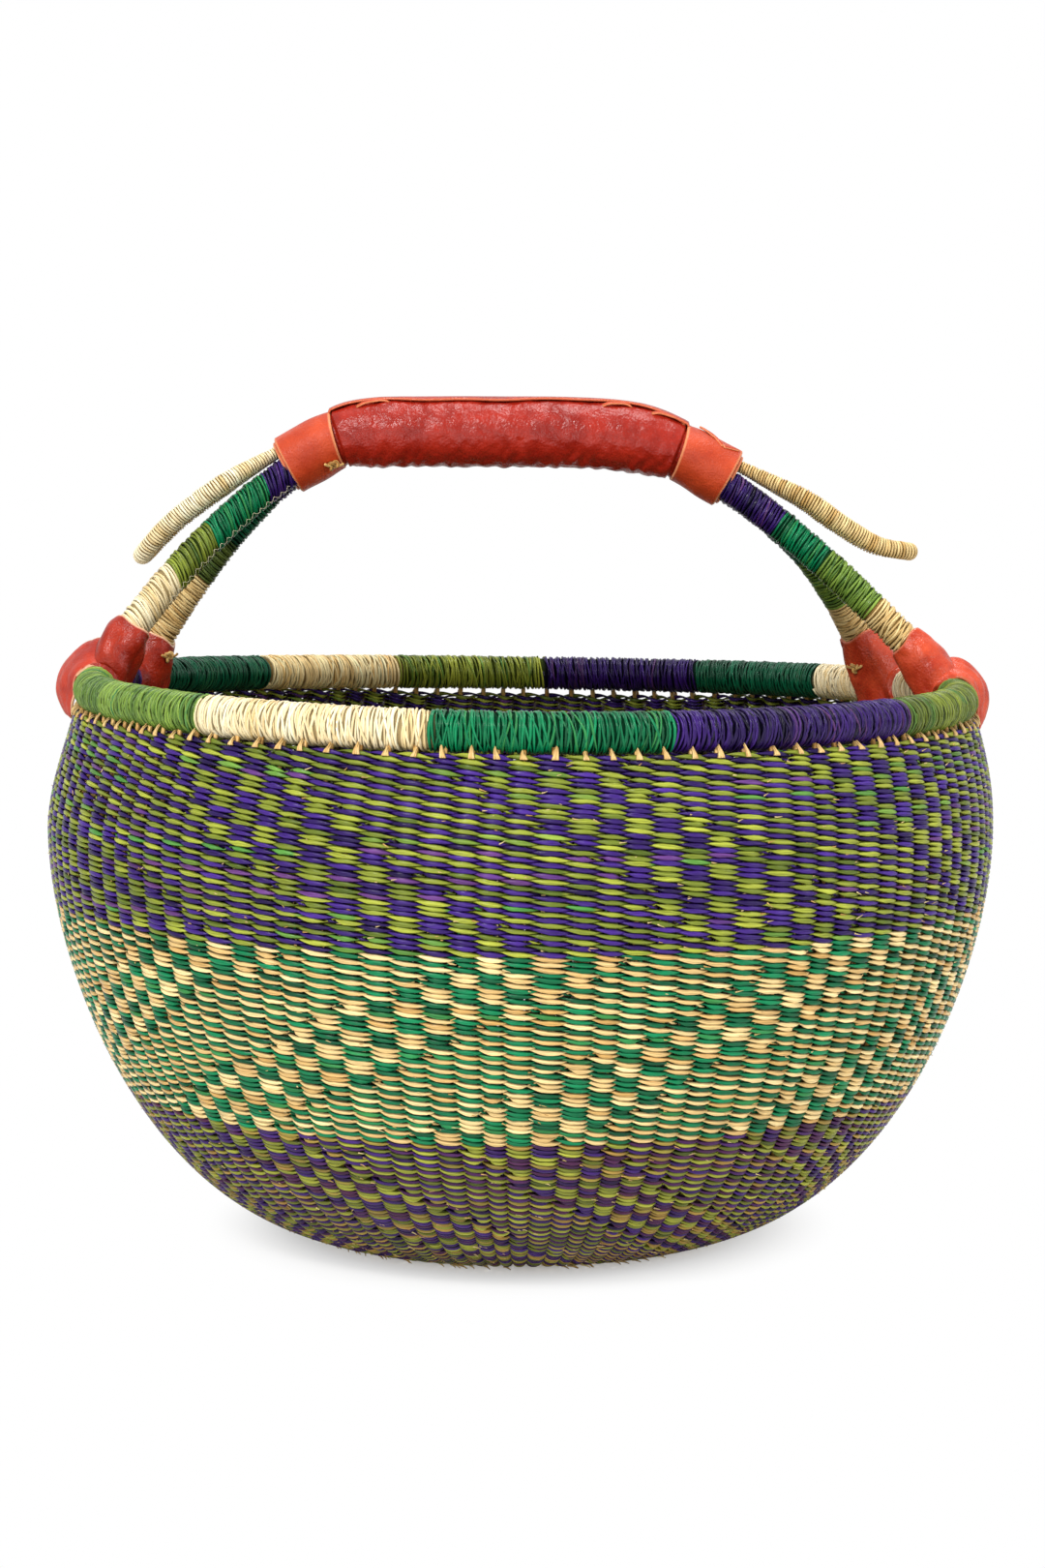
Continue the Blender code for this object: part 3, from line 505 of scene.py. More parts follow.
class Bundle:
    """Strands gathered into one mesh, each a row of rings with a colour on every ring."""

    def __init__(self, sides=STRAND_SIDES):
        self.sides = sides
        self.strands = []

    def add(self, centre, wide, deep, tint, closed=False):
        """wide and deep point to the widest and the flattest place of each ring."""
        middle = len(centre) // 2
        if np.dot(np.cross(wide[middle], deep[middle]), centre[middle] - centre[middle - 1]) < 0:
            deep = -deep
        turn = 2 * math.pi * np.arange(self.sides) / self.sides
        ring = centre[:, None] + np.cos(turn)[:, None] * wide[:, None] + np.sin(turn)[:, None] * deep[:, None]
        steps = np.linalg.norm(np.diff(centre, axis=0), axis=1)
        along = np.concatenate([[0], np.cumsum(steps)]) + len(self.strands) * 0.77
        fibre = np.empty(ring.shape)
        fibre[..., 0] = along[:, None]
        fibre[..., 1] = np.cos(turn)
        fibre[..., 2] = np.sin(turn)
        colour = np.broadcast_to(tint, (len(centre), 3))
        self.strands.append((ring, fibre, np.repeat(colour[:, None], self.sides, 1), closed))

    def build(self, name, material):
        """Makes the object, with each strand's skin laid out in strips of its own map."""
        sides = self.sides
        rings_in_all = sum(len(strand[0]) for strand in self.strands)
        chunk = max(8, int(math.sqrt(1.8 * rings_in_all)))
        chunks = [math.ceil(len(strand[0]) / chunk) for strand in self.strands]
        rows_in_all = sum(chunks)
        around = np.arange(sides)
        faces, maps, caps, cap_maps = [], [], [], []
        first = 0
        row = 0
        for (ring, _, _, closed), count in zip(self.strands, chunks):
            rings = len(ring)
            step = np.arange(rings if closed else rings - 1)
            low = first + step[:, None] * sides
            high = first + ((step + 1) % rings)[:, None] * sides
            side = (around + 1) % sides
            faces.append(np.stack([low + around, low + side, high + side, high + around], -1).reshape(-1, 4))
            u = (step % chunk / chunk)[:, None] + np.zeros(sides)
            v = (row + (step // chunk)[:, None] + around / sides * 0.9) / rows_in_all
            across = 0.9 / sides / rows_in_all
            corners = [(u, v), (u, v + across), (u + 1 / chunk, v + across), (u + 1 / chunk, v)]
            maps.append(np.stack([np.stack(corner, -1) for corner in corners], 2).reshape(-1, 4, 2))
            if not closed:
                caps += [first + around[::-1], first + (rings - 1) * sides + around]
                cap_maps += [np.tile((0, row / rows_in_all), (sides, 1)), np.tile(maps[-1][-1][2], (sides, 1))]
            first += rings * sides
            row += count
        faces = np.vstack(faces)
        loops = np.concatenate([faces.ravel(), *caps]) if caps else faces.ravel()
        uv = np.concatenate([np.vstack(maps).reshape(-1, 2), *cap_maps]) if caps else np.vstack(maps).reshape(-1, 2)
        starts = np.concatenate([np.arange(len(faces)) * 4, len(faces) * 4 + np.arange(len(caps)) * sides])
        mesh = bpy.data.meshes.new(name)
        mesh.vertices.add(first)
        mesh.vertices.foreach_set("co", np.concatenate([s[0].reshape(-1, 3) for s in self.strands]).ravel())
        mesh.loops.add(len(loops))
        mesh.loops.foreach_set("vertex_index", loops.astype(np.int32))
        mesh.polygons.add(len(starts))
        mesh.polygons.foreach_set("loop_start", starts.astype(np.int32))
        mesh.update(calc_edges=True)
        fibre = mesh.attributes.new("fibre", "FLOAT_VECTOR", "POINT")
        fibre.data.foreach_set("vector", np.concatenate([s[1].reshape(-1, 3) for s in self.strands]).ravel())
        tint = mesh.color_attributes.new("tint", "FLOAT_COLOR", "POINT")
        colours = np.concatenate([s[2].reshape(-1, 3) for s in self.strands])
        tint.data.foreach_set("color", np.hstack([colours, np.ones((len(colours), 1))]).ravel())
        layer = mesh.uv_layers.new(name="OFBake")
        layer.uv.foreach_set("vector", uv.ravel())
        mesh.shade_smooth()
        obj = bpy.data.objects.new(name, mesh)
        looks.objects.link(obj)
        mesh.materials.append(material)
        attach(obj, "root")
        return obj


def coil(line, normal, start, end, pitch, radius, skew=0.0, slant=0.0):
    """A strand wound round a line: its points, the line's direction, the way out and the turn at each."""
    turns = (end - start) / pitch
    turn = np.linspace(0, turns, max(4, int(turns * POINTS_PER_TURN)))
    angle = 2 * math.pi * turn
    sway = skew * np.sin(angle) + slant * np.cos(angle)
    station = np.clip(start + pitch * turn + sway, 0, line.length)
    forward = line.along(station)
    level = normal(station)
    level = unit(level - forward * np.sum(level * forward, -1, keepdims=True))
    side = np.cross(forward, level)
    out = np.cos(angle)[:, None] * level + np.sin(angle)[:, None] * side
    reach = radius(station) if callable(radius) else np.full(len(station), radius)
    return line.at(station) + reach[:, None] * out, forward, out, turn


def by_turn(turn, low, high):
    """A random value for each turn of a coil, blended from one turn to the next."""
    values = random.uniform(low, high, int(turn[-1]) + 2)
    return np.interp(turn, np.arange(len(values)), values)


def bind(bundle, line, normal, start, end, pitch, radius, colour, skew=0.0, looseness=0.30, fullness=1.0, slant=0.0):
    """Adds a binding of straw to a bundle: turns that lean, part and close up, each unlike the last."""
    half_depth = 0.42 * pitch * fullness
    reach = (lambda station: radius(station) - half_depth) if callable(radius) else radius - half_depth
    points, forward, out, turn = coil(line, normal, start, end, pitch, reach, skew, slant)
    angle = 2 * math.pi * turn
    lean = by_turn(turn, -looseness, looseness) * 0.5
    for waves, share in ((1, 1.0), (1, 0.8), (2, 0.75), (3, 0.5)):
        lean += share * by_turn(turn, -looseness, looseness) * np.sin(waves * angle + by_turn(turn, 0, math.pi))
    points = points + forward * lean[:, None] * pitch
    points = points + out * (by_turn(turn, -0.50, 0.35) * looseness * pitch * fullness)[:, None]
    leaf = 0.90 + 0.22 * np.sin(2.5 * angle + by_turn(turn, 0, 2 * math.pi))
    wide = forward * (pitch * fullness * leaf * by_turn(turn, 0.36, 0.47))[:, None]
    deep = out * (half_depth * by_turn(turn, 0.85, 1.15))[:, None]
    turns = int(turn[-1]) + 2
    tints = straw_run(colour, turns, 1, 2, 0.25)
    tint = np.stack([np.interp(turn, np.arange(turns), tints[:, axis]) for axis in range(3)], -1)
    bundle.add(points, wide, deep, tint)


def fill(name, line, normal, start, end, radius, bed, closed=False):
    """The bundle that a binding is wound round, seen only between the turns, in the darkest straw of each place dimmed
    as painted shade.
    """
    bundle = Bundle(12)
    stations = np.arange(start, end, 0.004) if closed else np.linspace(start, end, 60)
    forward = line.along(stations)
    level = normal(stations)
    level = unit(level - forward * np.sum(level * forward, -1, keepdims=True))
    side = np.cross(forward, level)
    reach = (radius(stations) if callable(radius) else np.full(len(stations), radius))[:, None]
    # Painted shade: the bed takes its straw's darkest tint times BED_SHADE.
    tint = np.array([np.array(STRAW[bed(station)][0]) * BED_SHADE for station in stations])
    bundle.add(line.at(stations), level * reach, side * reach, tint, closed)
    if closed:
        bundle.strands = [(settled(ring), *rest) for ring, *rest in bundle.strands]
    obj = bundle.build(name, materials["bed"])
    return obj


# Weave


def block_parity(stake, row, zone):
    """Which of a row's two strands lies in front of each stake: 0 or 1."""
    start, slant = zone
    from_front = stake + 0.25 * STAKES
    from_front = np.where(from_front > STAKES / 2, from_front - STAKES, from_front)
    off = (from_front - start - slant * row + ZONE_STAKES / 2) % ZONE_STAKES - ZONE_STAKES / 2
    in_block = np.abs(off) < ZONE_HALF_WIDTH
    return np.where(in_block, stake + row // BLOCK_ROWS, stake + row).astype(int) % 2


def row_strands(bundle, station, pitch, stakes, parity, colours):
    """Adds one twined row to a bundle: two strands that swap sides at every gap between stakes."""
    same = parity == np.roll(parity, -1)
    advance = np.where(same, 2 * math.pi, math.pi)
    swing = math.pi * parity[0] + np.concatenate([[0], np.cumsum(advance)])[:-1]
    share = np.arange(SAMPLES) / SAMPLES
    leaving = share**BEAD_REACH
    coming = 1 - (1 - share) ** BEAD_REACH
    swapping = np.where(share < 0.5, 2 * share**2, 1 - 2 * (1 - share) ** 2)
    count = stakes * SAMPLES
    pinch = (same[:, None] * (1 - np.abs(2 * share - 1)) ** 1.5).ravel()
    place = np.arange(count) / SAMPLES
    angle = 2 * math.pi * (place + stake_shift(place, stakes)) / stakes
    wander = 0.10 * pitch * np.sin(3 * angle + station * 190) + 0.06 * pitch * np.sin(11 * angle + station * 900)
    outer = skin.at(station)
    down = skin.along(station)
    normal = np.array((-down[2], down[0]))
    rise = np.array((-down[0], -down[2]))
    middle = np.array((outer[0], outer[2])) - WALL_THICKNESS / 2 * normal
    for strand, colour in enumerate(colours):
        begin = swing + math.pi * strand
        in_front = np.cos(begin)[:, None] > 0
        eased = np.where(same[:, None], swapping, np.where(in_front, leaving, coming))
        turn = (begin[:, None] + advance[:, None] * eased).ravel()
        front = np.cos(turn)
        out = STRAND_OUT * front * (1 - (1 - PINCH_OUT) * pinch)
        jitter = np.repeat(random.uniform(-1, 1, stakes), SAMPLES)
        up = -STRAND_SWAY_SHARE * pitch * np.sin(turn) + wander + 0.07 * pitch * jitter
        fullness = np.repeat(random.uniform(0.80, 1.14, stakes), SAMPLES)
        lens = (1 - np.abs(np.sin(turn))) ** BEAD_POINT
        half = pitch * (CROSSING_SHARE + (BEAD_SHARE * fullness - CROSSING_SHARE) * lens)
        half = half * (1 - (1 - PINCH_SHARE) * pinch)
        thick = STRAND_DEPTH * (0.6 + 0.4 * np.abs(front)) * (1 - (1 - PINCH_SHARE) * pinch)
        radial = middle[0] + out * normal[0] + up * rise[0]
        height = middle[1] + out * normal[1] + up * rise[1]
        centre = np.stack([radial * np.cos(angle), radial * np.sin(angle), height], -1)
        wide = np.stack([rise[0] * np.cos(angle), rise[0] * np.sin(angle), np.full(count, rise[1])], -1)
        deep = np.stack([normal[0] * np.cos(angle), normal[0] * np.sin(angle), np.full(count, normal[1])], -1)
        nearest = (np.arange(count) + SAMPLES // 2) // SAMPLES % stakes
        tint = straw_run(colour, stakes, 2, 8, 0.14)[nearest]
        bundle.add(seated(centre), wide * half[:, None], deep * thick[:, None], tint, closed=True)


def stake_shift(place, stakes):
    """How far each stake stands from its even place, in stakes, the same in every row."""
    turn = 2 * math.pi * place / stakes
    return 0.09 * np.sin(7 * turn + 1.3) + 0.07 * np.sin(17 * turn + 0.4) + 0.05 * np.sin(29 * turn)


def stakes_at(station):
    """The number of stakes there: fewer towards the middle of the base."""
    radius = skin.at(station)[0]
    count = STAKES
    for limit, fewer in FEWER_STAKES:
        if radius < limit:
            count = fewer
    return count


def weave(name, start, end, rows, colours, zone, slot, *nodes):
    """Weaves a band of the skin in pieces of a few rows each."""
    pitch = (end - start) / rows
    numbers = list(range(rows))
    for piece, first in enumerate(range(0, rows, ROWS_A_PIECE)):
        bundle = Bundle()
        for row in numbers[first : first + ROWS_A_PIECE]:
            station = start + (row + 0.5) * pitch
            stakes = stakes_at(station)
            parity = block_parity(np.arange(stakes), row, zone)
            row_strands(bundle, station, pitch, stakes, parity, colours)
        obj = bundle.build(f"{name}_{piece + 1}", materials["straw"])
        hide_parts(*nodes)


def make_wall():
    """The three bands, the natural foot and the base."""
    middle_top = station_of_height(MIDDLE_TOP)
    middle_bottom = station_of_height(MIDDLE_BOTTOM)
    foot = station_of_height(FOOT_RING_HEIGHT)
    edge = float(skin.stations[int(np.argmin(skin.points[:, 2]))])
    dark = ("olive", "purple")
    foot_straws = ("natural", "wheat")
    lower_nodes = ("lower_band_1", "lower_band_2", "lower_band_3", "lower_band_4")
    weave("weave_upper", 0, middle_top, ROWS_UPPER, dark, UPPER_ZONE, "olive_purple_weave", "upper_band")
    light = ("green", "wheat")
    low = ("bronze", "plum")
    weave("weave_middle", middle_top, middle_bottom, ROWS_MIDDLE, light, MIDDLE_ZONE, "green_natural_weave", "middle_band")
    weave("weave_lower", middle_bottom, foot, ROWS_LOWER, low, LOWER_ZONE, "olive_purple_weave", *lower_nodes)
    weave("weave_foot", foot, edge, ROWS_FOOT, foot_straws, LOWER_ZONE, "natural_straw", "foot_ring")
    weave("weave_base", edge, skin.length - 0.004, ROWS_BASE, dark, LOWER_ZONE, "olive_purple_weave", "base_panel")


def make_stakes():
    """The stakes inside the wall, the posts that they make in the open row under the rim, and a near-black strip of
    painted shade in each gap between the stakes.
    """
    bundle = Bundle(5)
    foot = station_of_height(FOOT_RING_HEIGHT)
    stations = np.linspace(0, foot, 24)
    outer = skin.at(stations)
    down = skin.along(stations)
    for stake in range(STAKES):
        angle = 2 * math.pi * (stake + float(stake_shift(stake, STAKES))) / STAKES
        radial = outer[:, 0] + WALL_THICKNESS / 2 * down[:, 2]
        height = outer[:, 2] - WALL_THICKNESS / 2 * down[:, 0]
        centre = np.stack([radial * math.cos(angle), radial * math.sin(angle), height], -1)
        top = centre[0] + np.array((-0.0012 * math.cos(angle), -0.0012 * math.sin(angle), 0.0050))
        centre = seated(np.vstack([top, centre]))
        level = np.tile((-math.sin(angle), math.cos(angle), 0), (len(centre), 1))
        outward = np.tile((math.cos(angle), math.sin(angle), 0), (len(centre), 1))
        tint = straw_tint("tan", np.full(len(centre), random.uniform(0.2, 0.9)))
        bundle.add(centre, level * STAKE_RADIUS, outward * STAKE_RADIUS, tint)
        lean = random.uniform(-POST_LEAN, POST_LEAN)
        tall = random.uniform(*POST_RISES)
        stout = random.uniform(*POST_SIZES)
        for straw in (-1, 0, 1):
            up_share = np.linspace(0, 1, 6)
            spread = POST_SPREAD * stout * straw * (1 - 0.7 * up_share) + lean * up_share
            bend = angle + spread / MOUTH_RADIUS
            inward = POST_INWARD * up_share**1.5 - 0.0004 * np.sin(math.pi * up_share)
            reach = MOUTH_RADIUS + POST_OUT - inward
            rise = WALL_TOP + POST_BASE + (tall - 0.0007 * abs(straw)) * up_share
            post = np.stack([reach * np.cos(bend), reach * np.sin(bend), rise], -1)
            size = POST_STRAW * stout * (1 - 0.5 * up_share)[:, None]
            level = np.stack([-np.sin(bend), np.cos(bend), np.zeros(6)], -1)
            outward = np.stack([np.cos(bend), np.sin(bend), np.zeros(6)], -1)
            tint = straw_tint("wheat", np.full(6, random.uniform(0.1, 0.7)), 0.4)
            bundle.add(seated(post), level * size, outward * size, tint)
        # Painted shade: a thin near-black strip in the middle of the wall in the gap after each stake, so that the
        # gaps between the rows look dark.
        middle = angle + math.pi / STAKES
        shade_strip_stations = np.linspace(SHADE_STRIP_START, foot, 24)
        outer_line, line_down = skin.at(shade_strip_stations), skin.along(shade_strip_stations)
        radial = outer_line[:, 0] + WALL_THICKNESS / 2 * line_down[:, 2]
        height = outer_line[:, 2] - WALL_THICKNESS / 2 * line_down[:, 0]
        centre = np.stack([radial * math.cos(middle), radial * math.sin(middle), height], -1)
        level = np.tile((-math.sin(middle), math.cos(middle), 0), (len(centre), 1))
        outward = np.tile((math.cos(middle), math.sin(middle), 0), (len(centre), 1))
        half = (2 * math.pi * radial / STAKES * SHADE_STRIP_SHARE)[:, None]
        tint = straw_tint("core_painted_shade", np.full(len(centre), random.uniform(0, 1)))
        bundle.add(seated(centre), level * half, outward * SHADE_STRIP_DEPTH, tint)
    obj = bundle.build("stakes", materials["straw"])
    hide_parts("stake_ring")


# Rim


def make_rim():
    """The binding of the rim: some fifty turns of one colour after another, over a bundled core."""
    circle = np.linspace(0, 2 * math.pi * 1.5, 1080)
    turned = circle - 1.5 * math.pi
    points = np.stack([RIM_RADIUS * np.cos(turned), RIM_RADIUS * np.sin(turned), np.full(len(turned), RIM_HEIGHT)], -1)
    line = Path(points)

    def upwards(station):
        return np.tile((0.0, 0.0, 1.0), (len(station), 1))

    starts = [start for _, start in RIM_COLOURS] + [RIM_COLOURS[0][1] + 360]

    def bed(station):
        angle = (math.degrees(station / RIM_RADIUS) - 270 - starts[0]) % 360 + starts[0]
        return RIM_STRAW[int(np.searchsorted(starts, angle, "right")) - 1]

    for number, (colour, start) in enumerate(RIM_COLOURS):
        low = RIM_RADIUS * math.radians(start + 270)
        high = RIM_RADIUS * math.radians(starts[number + 1] + 270)
        bundle = Bundle()
        straw = RIM_STRAW[number]
        if number in RIM_LEAD_INS:
            lead, degrees = RIM_LEAD_INS[number]
            begin = low
            low += RIM_RADIUS * math.radians(degrees)
            bind(bundle, line, upwards, begin, low, RIM_PITCH, RIM_WRAP_RADIUS + 0.0001, lead, 0.0010, 0.40, 1.0, 0.0004)
        bind(bundle, line, upwards, low, high, RIM_PITCH, RIM_WRAP_RADIUS + 0.0001, straw, 0.0010, 0.40, 1.0, 0.0004)
        for share, slant in CROSSINGS:
            loose = RIM_PITCH * share
            reach = RIM_WRAP_RADIUS + 0.0004
            bind(bundle, line, upwards, low + loose, high - loose, loose, reach, straw, 0.0010, 0.34, 0.92 / share, slant)
        bundle.strands = [(settled(ring), *rest) for ring, *rest in bundle.strands]
        name = f"rim_wrap_{number + 1:02d}_{colour}"
        obj = bundle.build(f"binding_{name}", materials["straw"])
        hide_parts(name)
    obj = fill("rim_pith", line, upwards, 0, 2 * math.pi * RIM_RADIUS, RIM_WRAP_RADIUS - RIM_PITCH * 0.5, bed, True)
    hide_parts("rim_core")


# Legs and ears


def make_leg(name):
    """The binding of one leg, in its four colours."""
    path = leg_path(name)
    visible = RIM_WRAP_RADIUS + CLEARANCE + BOOT_LENGTH
    low = RIM_WRAP_RADIUS + CLEARANCE + BOOT_LENGTH * (BOOT_HEIGHT_SHARES[name] - 0.25)
    high = path.length - LEG_HEAD_DEPTH * 0.4
    shares = LEFT_COLOUR_SHARES if name.endswith("left") else RIGHT_COLOUR_SHARES
    edges = visible + (path.length - LEG_HEAD_DEPTH - visible) * np.concatenate([[0], np.cumsum(shares)])
    edges[0] = low
    edges[-1] = high

    def upwards(station):
        return path.frames(station)[2]

    def bed(station):
        return LEG_STRAW[name][min(int(np.searchsorted(edges, station, "right")) - 1, len(LEG_COLOURS) - 1)]

    for number, colour in enumerate(LEG_COLOURS):
        bundle = Bundle()
        ends = edges[number], edges[number + 1]
        straw = LEG_STRAW[name][number]
        slant = LEG_SLANTS[name]
        bind(bundle, path, upwards, *ends, LEG_PITCH, LEG_RADIUS, straw, 0.0008, 0.28, 1.12, slant)
        loose = LEG_PITCH * CROSSINGS[0][0]
        crossing = ends[0] + loose, ends[1] - loose
        bind(bundle, path, upwards, *crossing, loose, LEG_RADIUS + 0.0003, straw, 0.0008, 0.34, 0.56, slant + 0.0010)
        obj = bundle.build(f"binding_{name}_{colour}", materials["straw"])
        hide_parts(f"leg_{name}_wrap_{colour}")
    obj = fill(f"leg_pith_{name}", path, upwards, low, high, LEG_RADIUS - LEG_PITCH * 0.5, bed)
    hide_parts(f"leg_{name}_core")


def ear_line(mouth, side, reach, drop, shares):
    """The loop of an ear: its points, the way out of its plane and its radius at each."""
    forward, _, upper = grip.frames(mouth)
    inward = forward * -side
    root = grip.at(mouth) + EAR_RISE * upper
    spine = [root + inward * EAR_ROOT_DEPTH]
    spine += [root + np.array((side * reach * out, 0, -drop * down)) for out, down in shares]
    line = Path(through(spine, 80))
    turn = np.linspace(0, math.pi, 121)
    share = np.sin(turn) ** EAR_BLUNTNESS
    wide = EAR_ROOT_SPREAD + (EAR_SPREAD - EAR_ROOT_SPREAD) * smooth_step(share * 2)
    across = -wide * np.copysign(np.abs(np.cos(turn)) ** EAR_SQUARENESS, np.cos(turn))
    points = line.at(line.length * share)
    points[:, 1] += across
    normals = unit(np.cross(line.along(line.length * share), (0, 1, 0)))
    near = EAR_ROOT_RADIUS + (EAR_MIDDLE_RADIUS - EAR_ROOT_RADIUS) * smooth_step(share * 2)
    far = EAR_MIDDLE_RADIUS + (EAR_TIP_RADIUS - EAR_MIDDLE_RADIUS) * smooth_step(share * 2 - 1)
    return Path(points), normals, np.where(share < 0.5, near, far)


def make_ear(name, mouth, side, reach, drop, shares):
    """A stiff loop bound with natural straw from end to end."""
    loop, normals, radii = ear_line(mouth, side, reach, drop, shares)

    def upwards(station):
        return np.stack([np.interp(station, loop.stations, axis) for axis in normals.T], -1)

    def radius(station):
        return np.interp(station, loop.stations, radii)

    bundle = Bundle()
    colour = "natural" if side < 0 else "wheat"
    bind(bundle, loop, upwards, 0, loop.length, EAR_PITCH, radius, colour, 0.0, 0.07, 1.15)
    obj = bundle.build(f"binding_{name}", materials["straw"])
    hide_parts(name)

    def inside(station):
        return radius(station) - EAR_PITCH * 0.6

    fill(f"{name}_pith", loop, upwards, 0, loop.length, inside, lambda station: "wheat")


# Leather


def leather(name, rings, thickness, material, nodes, wear=0.0):
    """A leather sleeve from rings of points on its outer face: outer and inner faces with rounded edges."""
    count, around = rings.shape[:2]
    centre = rings.mean(1, keepdims=True)
    out = unit(rings - centre)
    inner = rings - out * thickness
    edge_low = (rings[:1] + inner[:1]) / 2
    edge_high = (rings[-1:] + inner[-1:]) / 2
    along_low = unit(centre[0] - centre[1]) * thickness / 3
    along_high = unit(centre[-1] - centre[-2]) * thickness / 3
    loops = np.concatenate([rings, edge_high + along_high, inner[::-1], edge_low + along_low])
    rows = len(loops)
    index = np.arange(rows * around).reshape(rows, around)
    nxt = np.roll(index, -1, 0)
    faces = np.stack([index, np.roll(index, -1, 1), np.roll(nxt, -1, 1), nxt], -1).reshape(-1, 4)
    mesh = bpy.data.meshes.new(name)
    mesh.from_pydata(loops.reshape(-1, 3).tolist(), [], faces.tolist())
    raw = np.zeros((rows, around))
    raw[count - 1 : count + 2] = 1
    raw[[-2, -1, 0]] = 1
    cut = mesh.attributes.new("cut", "FLOAT", "POINT")
    cut.data.foreach_set("value", raw.ravel())
    layer = mesh.uv_layers.new(name="OFBake")
    u = np.arange(rows)[:, None] / rows + np.zeros(around)
    v = np.arange(around)[None] / around + np.zeros((rows, 1))
    corner = np.stack([u, v], -1)
    step_u, step_v = np.array((1 / rows, 0)), np.array((0, 1 / around))
    uv = np.stack([corner, corner + step_v, corner + step_v + step_u, corner + step_u], 2)
    layer.uv.foreach_set("vector", uv.ravel())
    mesh.shade_smooth()
    obj = bpy.data.objects.new(name, mesh)
    looks.objects.link(obj)
    mesh.materials.append(materials[material])
    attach(obj, "root")
    if nodes:
        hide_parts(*nodes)
    facing_out(mesh)
    return obj


def facing_out(mesh):
    """Turns the mesh's faces round where they point inwards."""
    points = np.empty(len(mesh.vertices) * 3)
    mesh.vertices.foreach_get("co", points)
    points = points.reshape(-1, 3)
    mesh.calc_loop_triangles()
    corners = np.empty(len(mesh.loop_triangles) * 3, np.int32)
    mesh.loop_triangles.foreach_get("vertices", corners)
    if np.linalg.det(points[corners.reshape(-1, 3)]).sum() < 0:
        mesh.flip_normals()


def rings_round(path, stations, radii, around=64, width_share=1.0):
    """Rings of points round a path, from its upper side over its back."""
    _, level, upper = path.frames(stations)
    turn = 2 * math.pi * np.arange(around) / around
    out = np.cos(turn)[:, None] * upper[:, None] + np.sin(turn)[:, None] * level[:, None]
    rings = path.at(stations)[:, None] + radii[:, None, None] * out
    middle = path.at(stations)[:, None, 1]
    rings[..., 1] = middle + (rings[..., 1] - middle) * width_share
    return rings, out


def lumps(points, scale, seed):
    """Smooth noise at each point, from -1 to 1."""
    shift = Vector((seed * 3.1, seed * 1.7, seed * 5.3))
    flat = points.reshape(-1, 3)
    values = [noise.noise(Vector(point) * scale + shift) for point in flat]
    return np.array(values).reshape(points.shape[:-1])


def wrinkles(points, scale, seed):
    """Soft lands with sharp valleys between them, about zero."""
    return np.abs(lumps(points, scale, seed)) ** WRINKLE_SHARPNESS - WRINKLE_LEVEL


def sheet(name, grid, thickness, material, nodes):
    """A leather sheet from a grid of points on its outer face, with raw edges all round."""
    along = np.gradient(grid, axis=0)
    across = np.gradient(grid, axis=1)
    normal = unit(np.cross(across, along))
    rows, columns = grid.shape[:2]
    inner = grid - normal * thickness
    points = np.concatenate([grid.reshape(-1, 3), inner.reshape(-1, 3)])
    index = np.arange(rows * columns).reshape(rows, columns)
    low, high = index[:-1, :-1], index[1:, 1:]
    face = np.stack([low, index[:-1, 1:], high, index[1:, :-1]], -1).reshape(-1, 4)
    back = face[:, ::-1] + rows * columns
    border = np.concatenate([index[0, :-1], index[:-1, -1], index[-1, :0:-1], index[:0:-1, 0]])
    following = np.roll(border, -1)
    edge = np.stack([border, border + rows * columns, following + rows * columns, following], -1)
    mesh = bpy.data.meshes.new(name)
    mesh.from_pydata(points.tolist(), [], np.concatenate([face, back, edge]).tolist())
    raw = np.zeros((2, rows, columns))
    raw[:, [0, -1]] = 1
    raw[:, :, [0, -1]] = 1
    cut = mesh.attributes.new("cut", "FLOAT", "POINT")
    cut.data.foreach_set("value", raw.ravel())
    u, v = np.meshgrid(np.linspace(0, 0.48, rows), np.linspace(0, 0.94, columns), indexing="ij")
    place = np.stack([u, v], -1).reshape(-1, 2)
    face_map = place[face.ravel()]
    back_map = place[(back - rows * columns).ravel()] + (0.5, 0)
    step = np.arange(len(border)) / len(border)
    ends = step + 1 / len(border)
    low_v, high_v = np.full(len(border), 0.96), np.full(len(border), 0.99)
    edge_map = np.stack([np.stack(corner, -1) for corner in ((step, low_v), (step, high_v), (ends, high_v), (ends, low_v))], 1)
    layer = mesh.uv_layers.new(name="OFBake")
    layer.uv.foreach_set("vector", np.concatenate([face_map, back_map, edge_map.reshape(-1, 2)]).ravel())
    mesh.shade_smooth()
    obj = bpy.data.objects.new(name, mesh)
    looks.objects.link(obj)
    mesh.materials.append(materials[material])
    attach(obj, "root")
    if nodes:
        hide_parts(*nodes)
    facing_out(mesh)
    return obj


def thong(name, points, width, thickness, out, material, nodes=()):
    """A flat leather lace along a line, lying square to the given way out."""
    points = np.array(points, float)
    forward = unit(np.gradient(points, axis=0))
    aside = unit(np.cross(forward, out))
    steps = np.linspace(-1, 1, 5)
    grid = points[:, None] + aside[:, None] * (steps * width / 2)[:, None]
    grid = grid + np.asarray(out)[:, None] * ((1 - steps**2) * thickness * 0.4)[:, None]
    return sheet(name, grid, thickness, material, nodes)


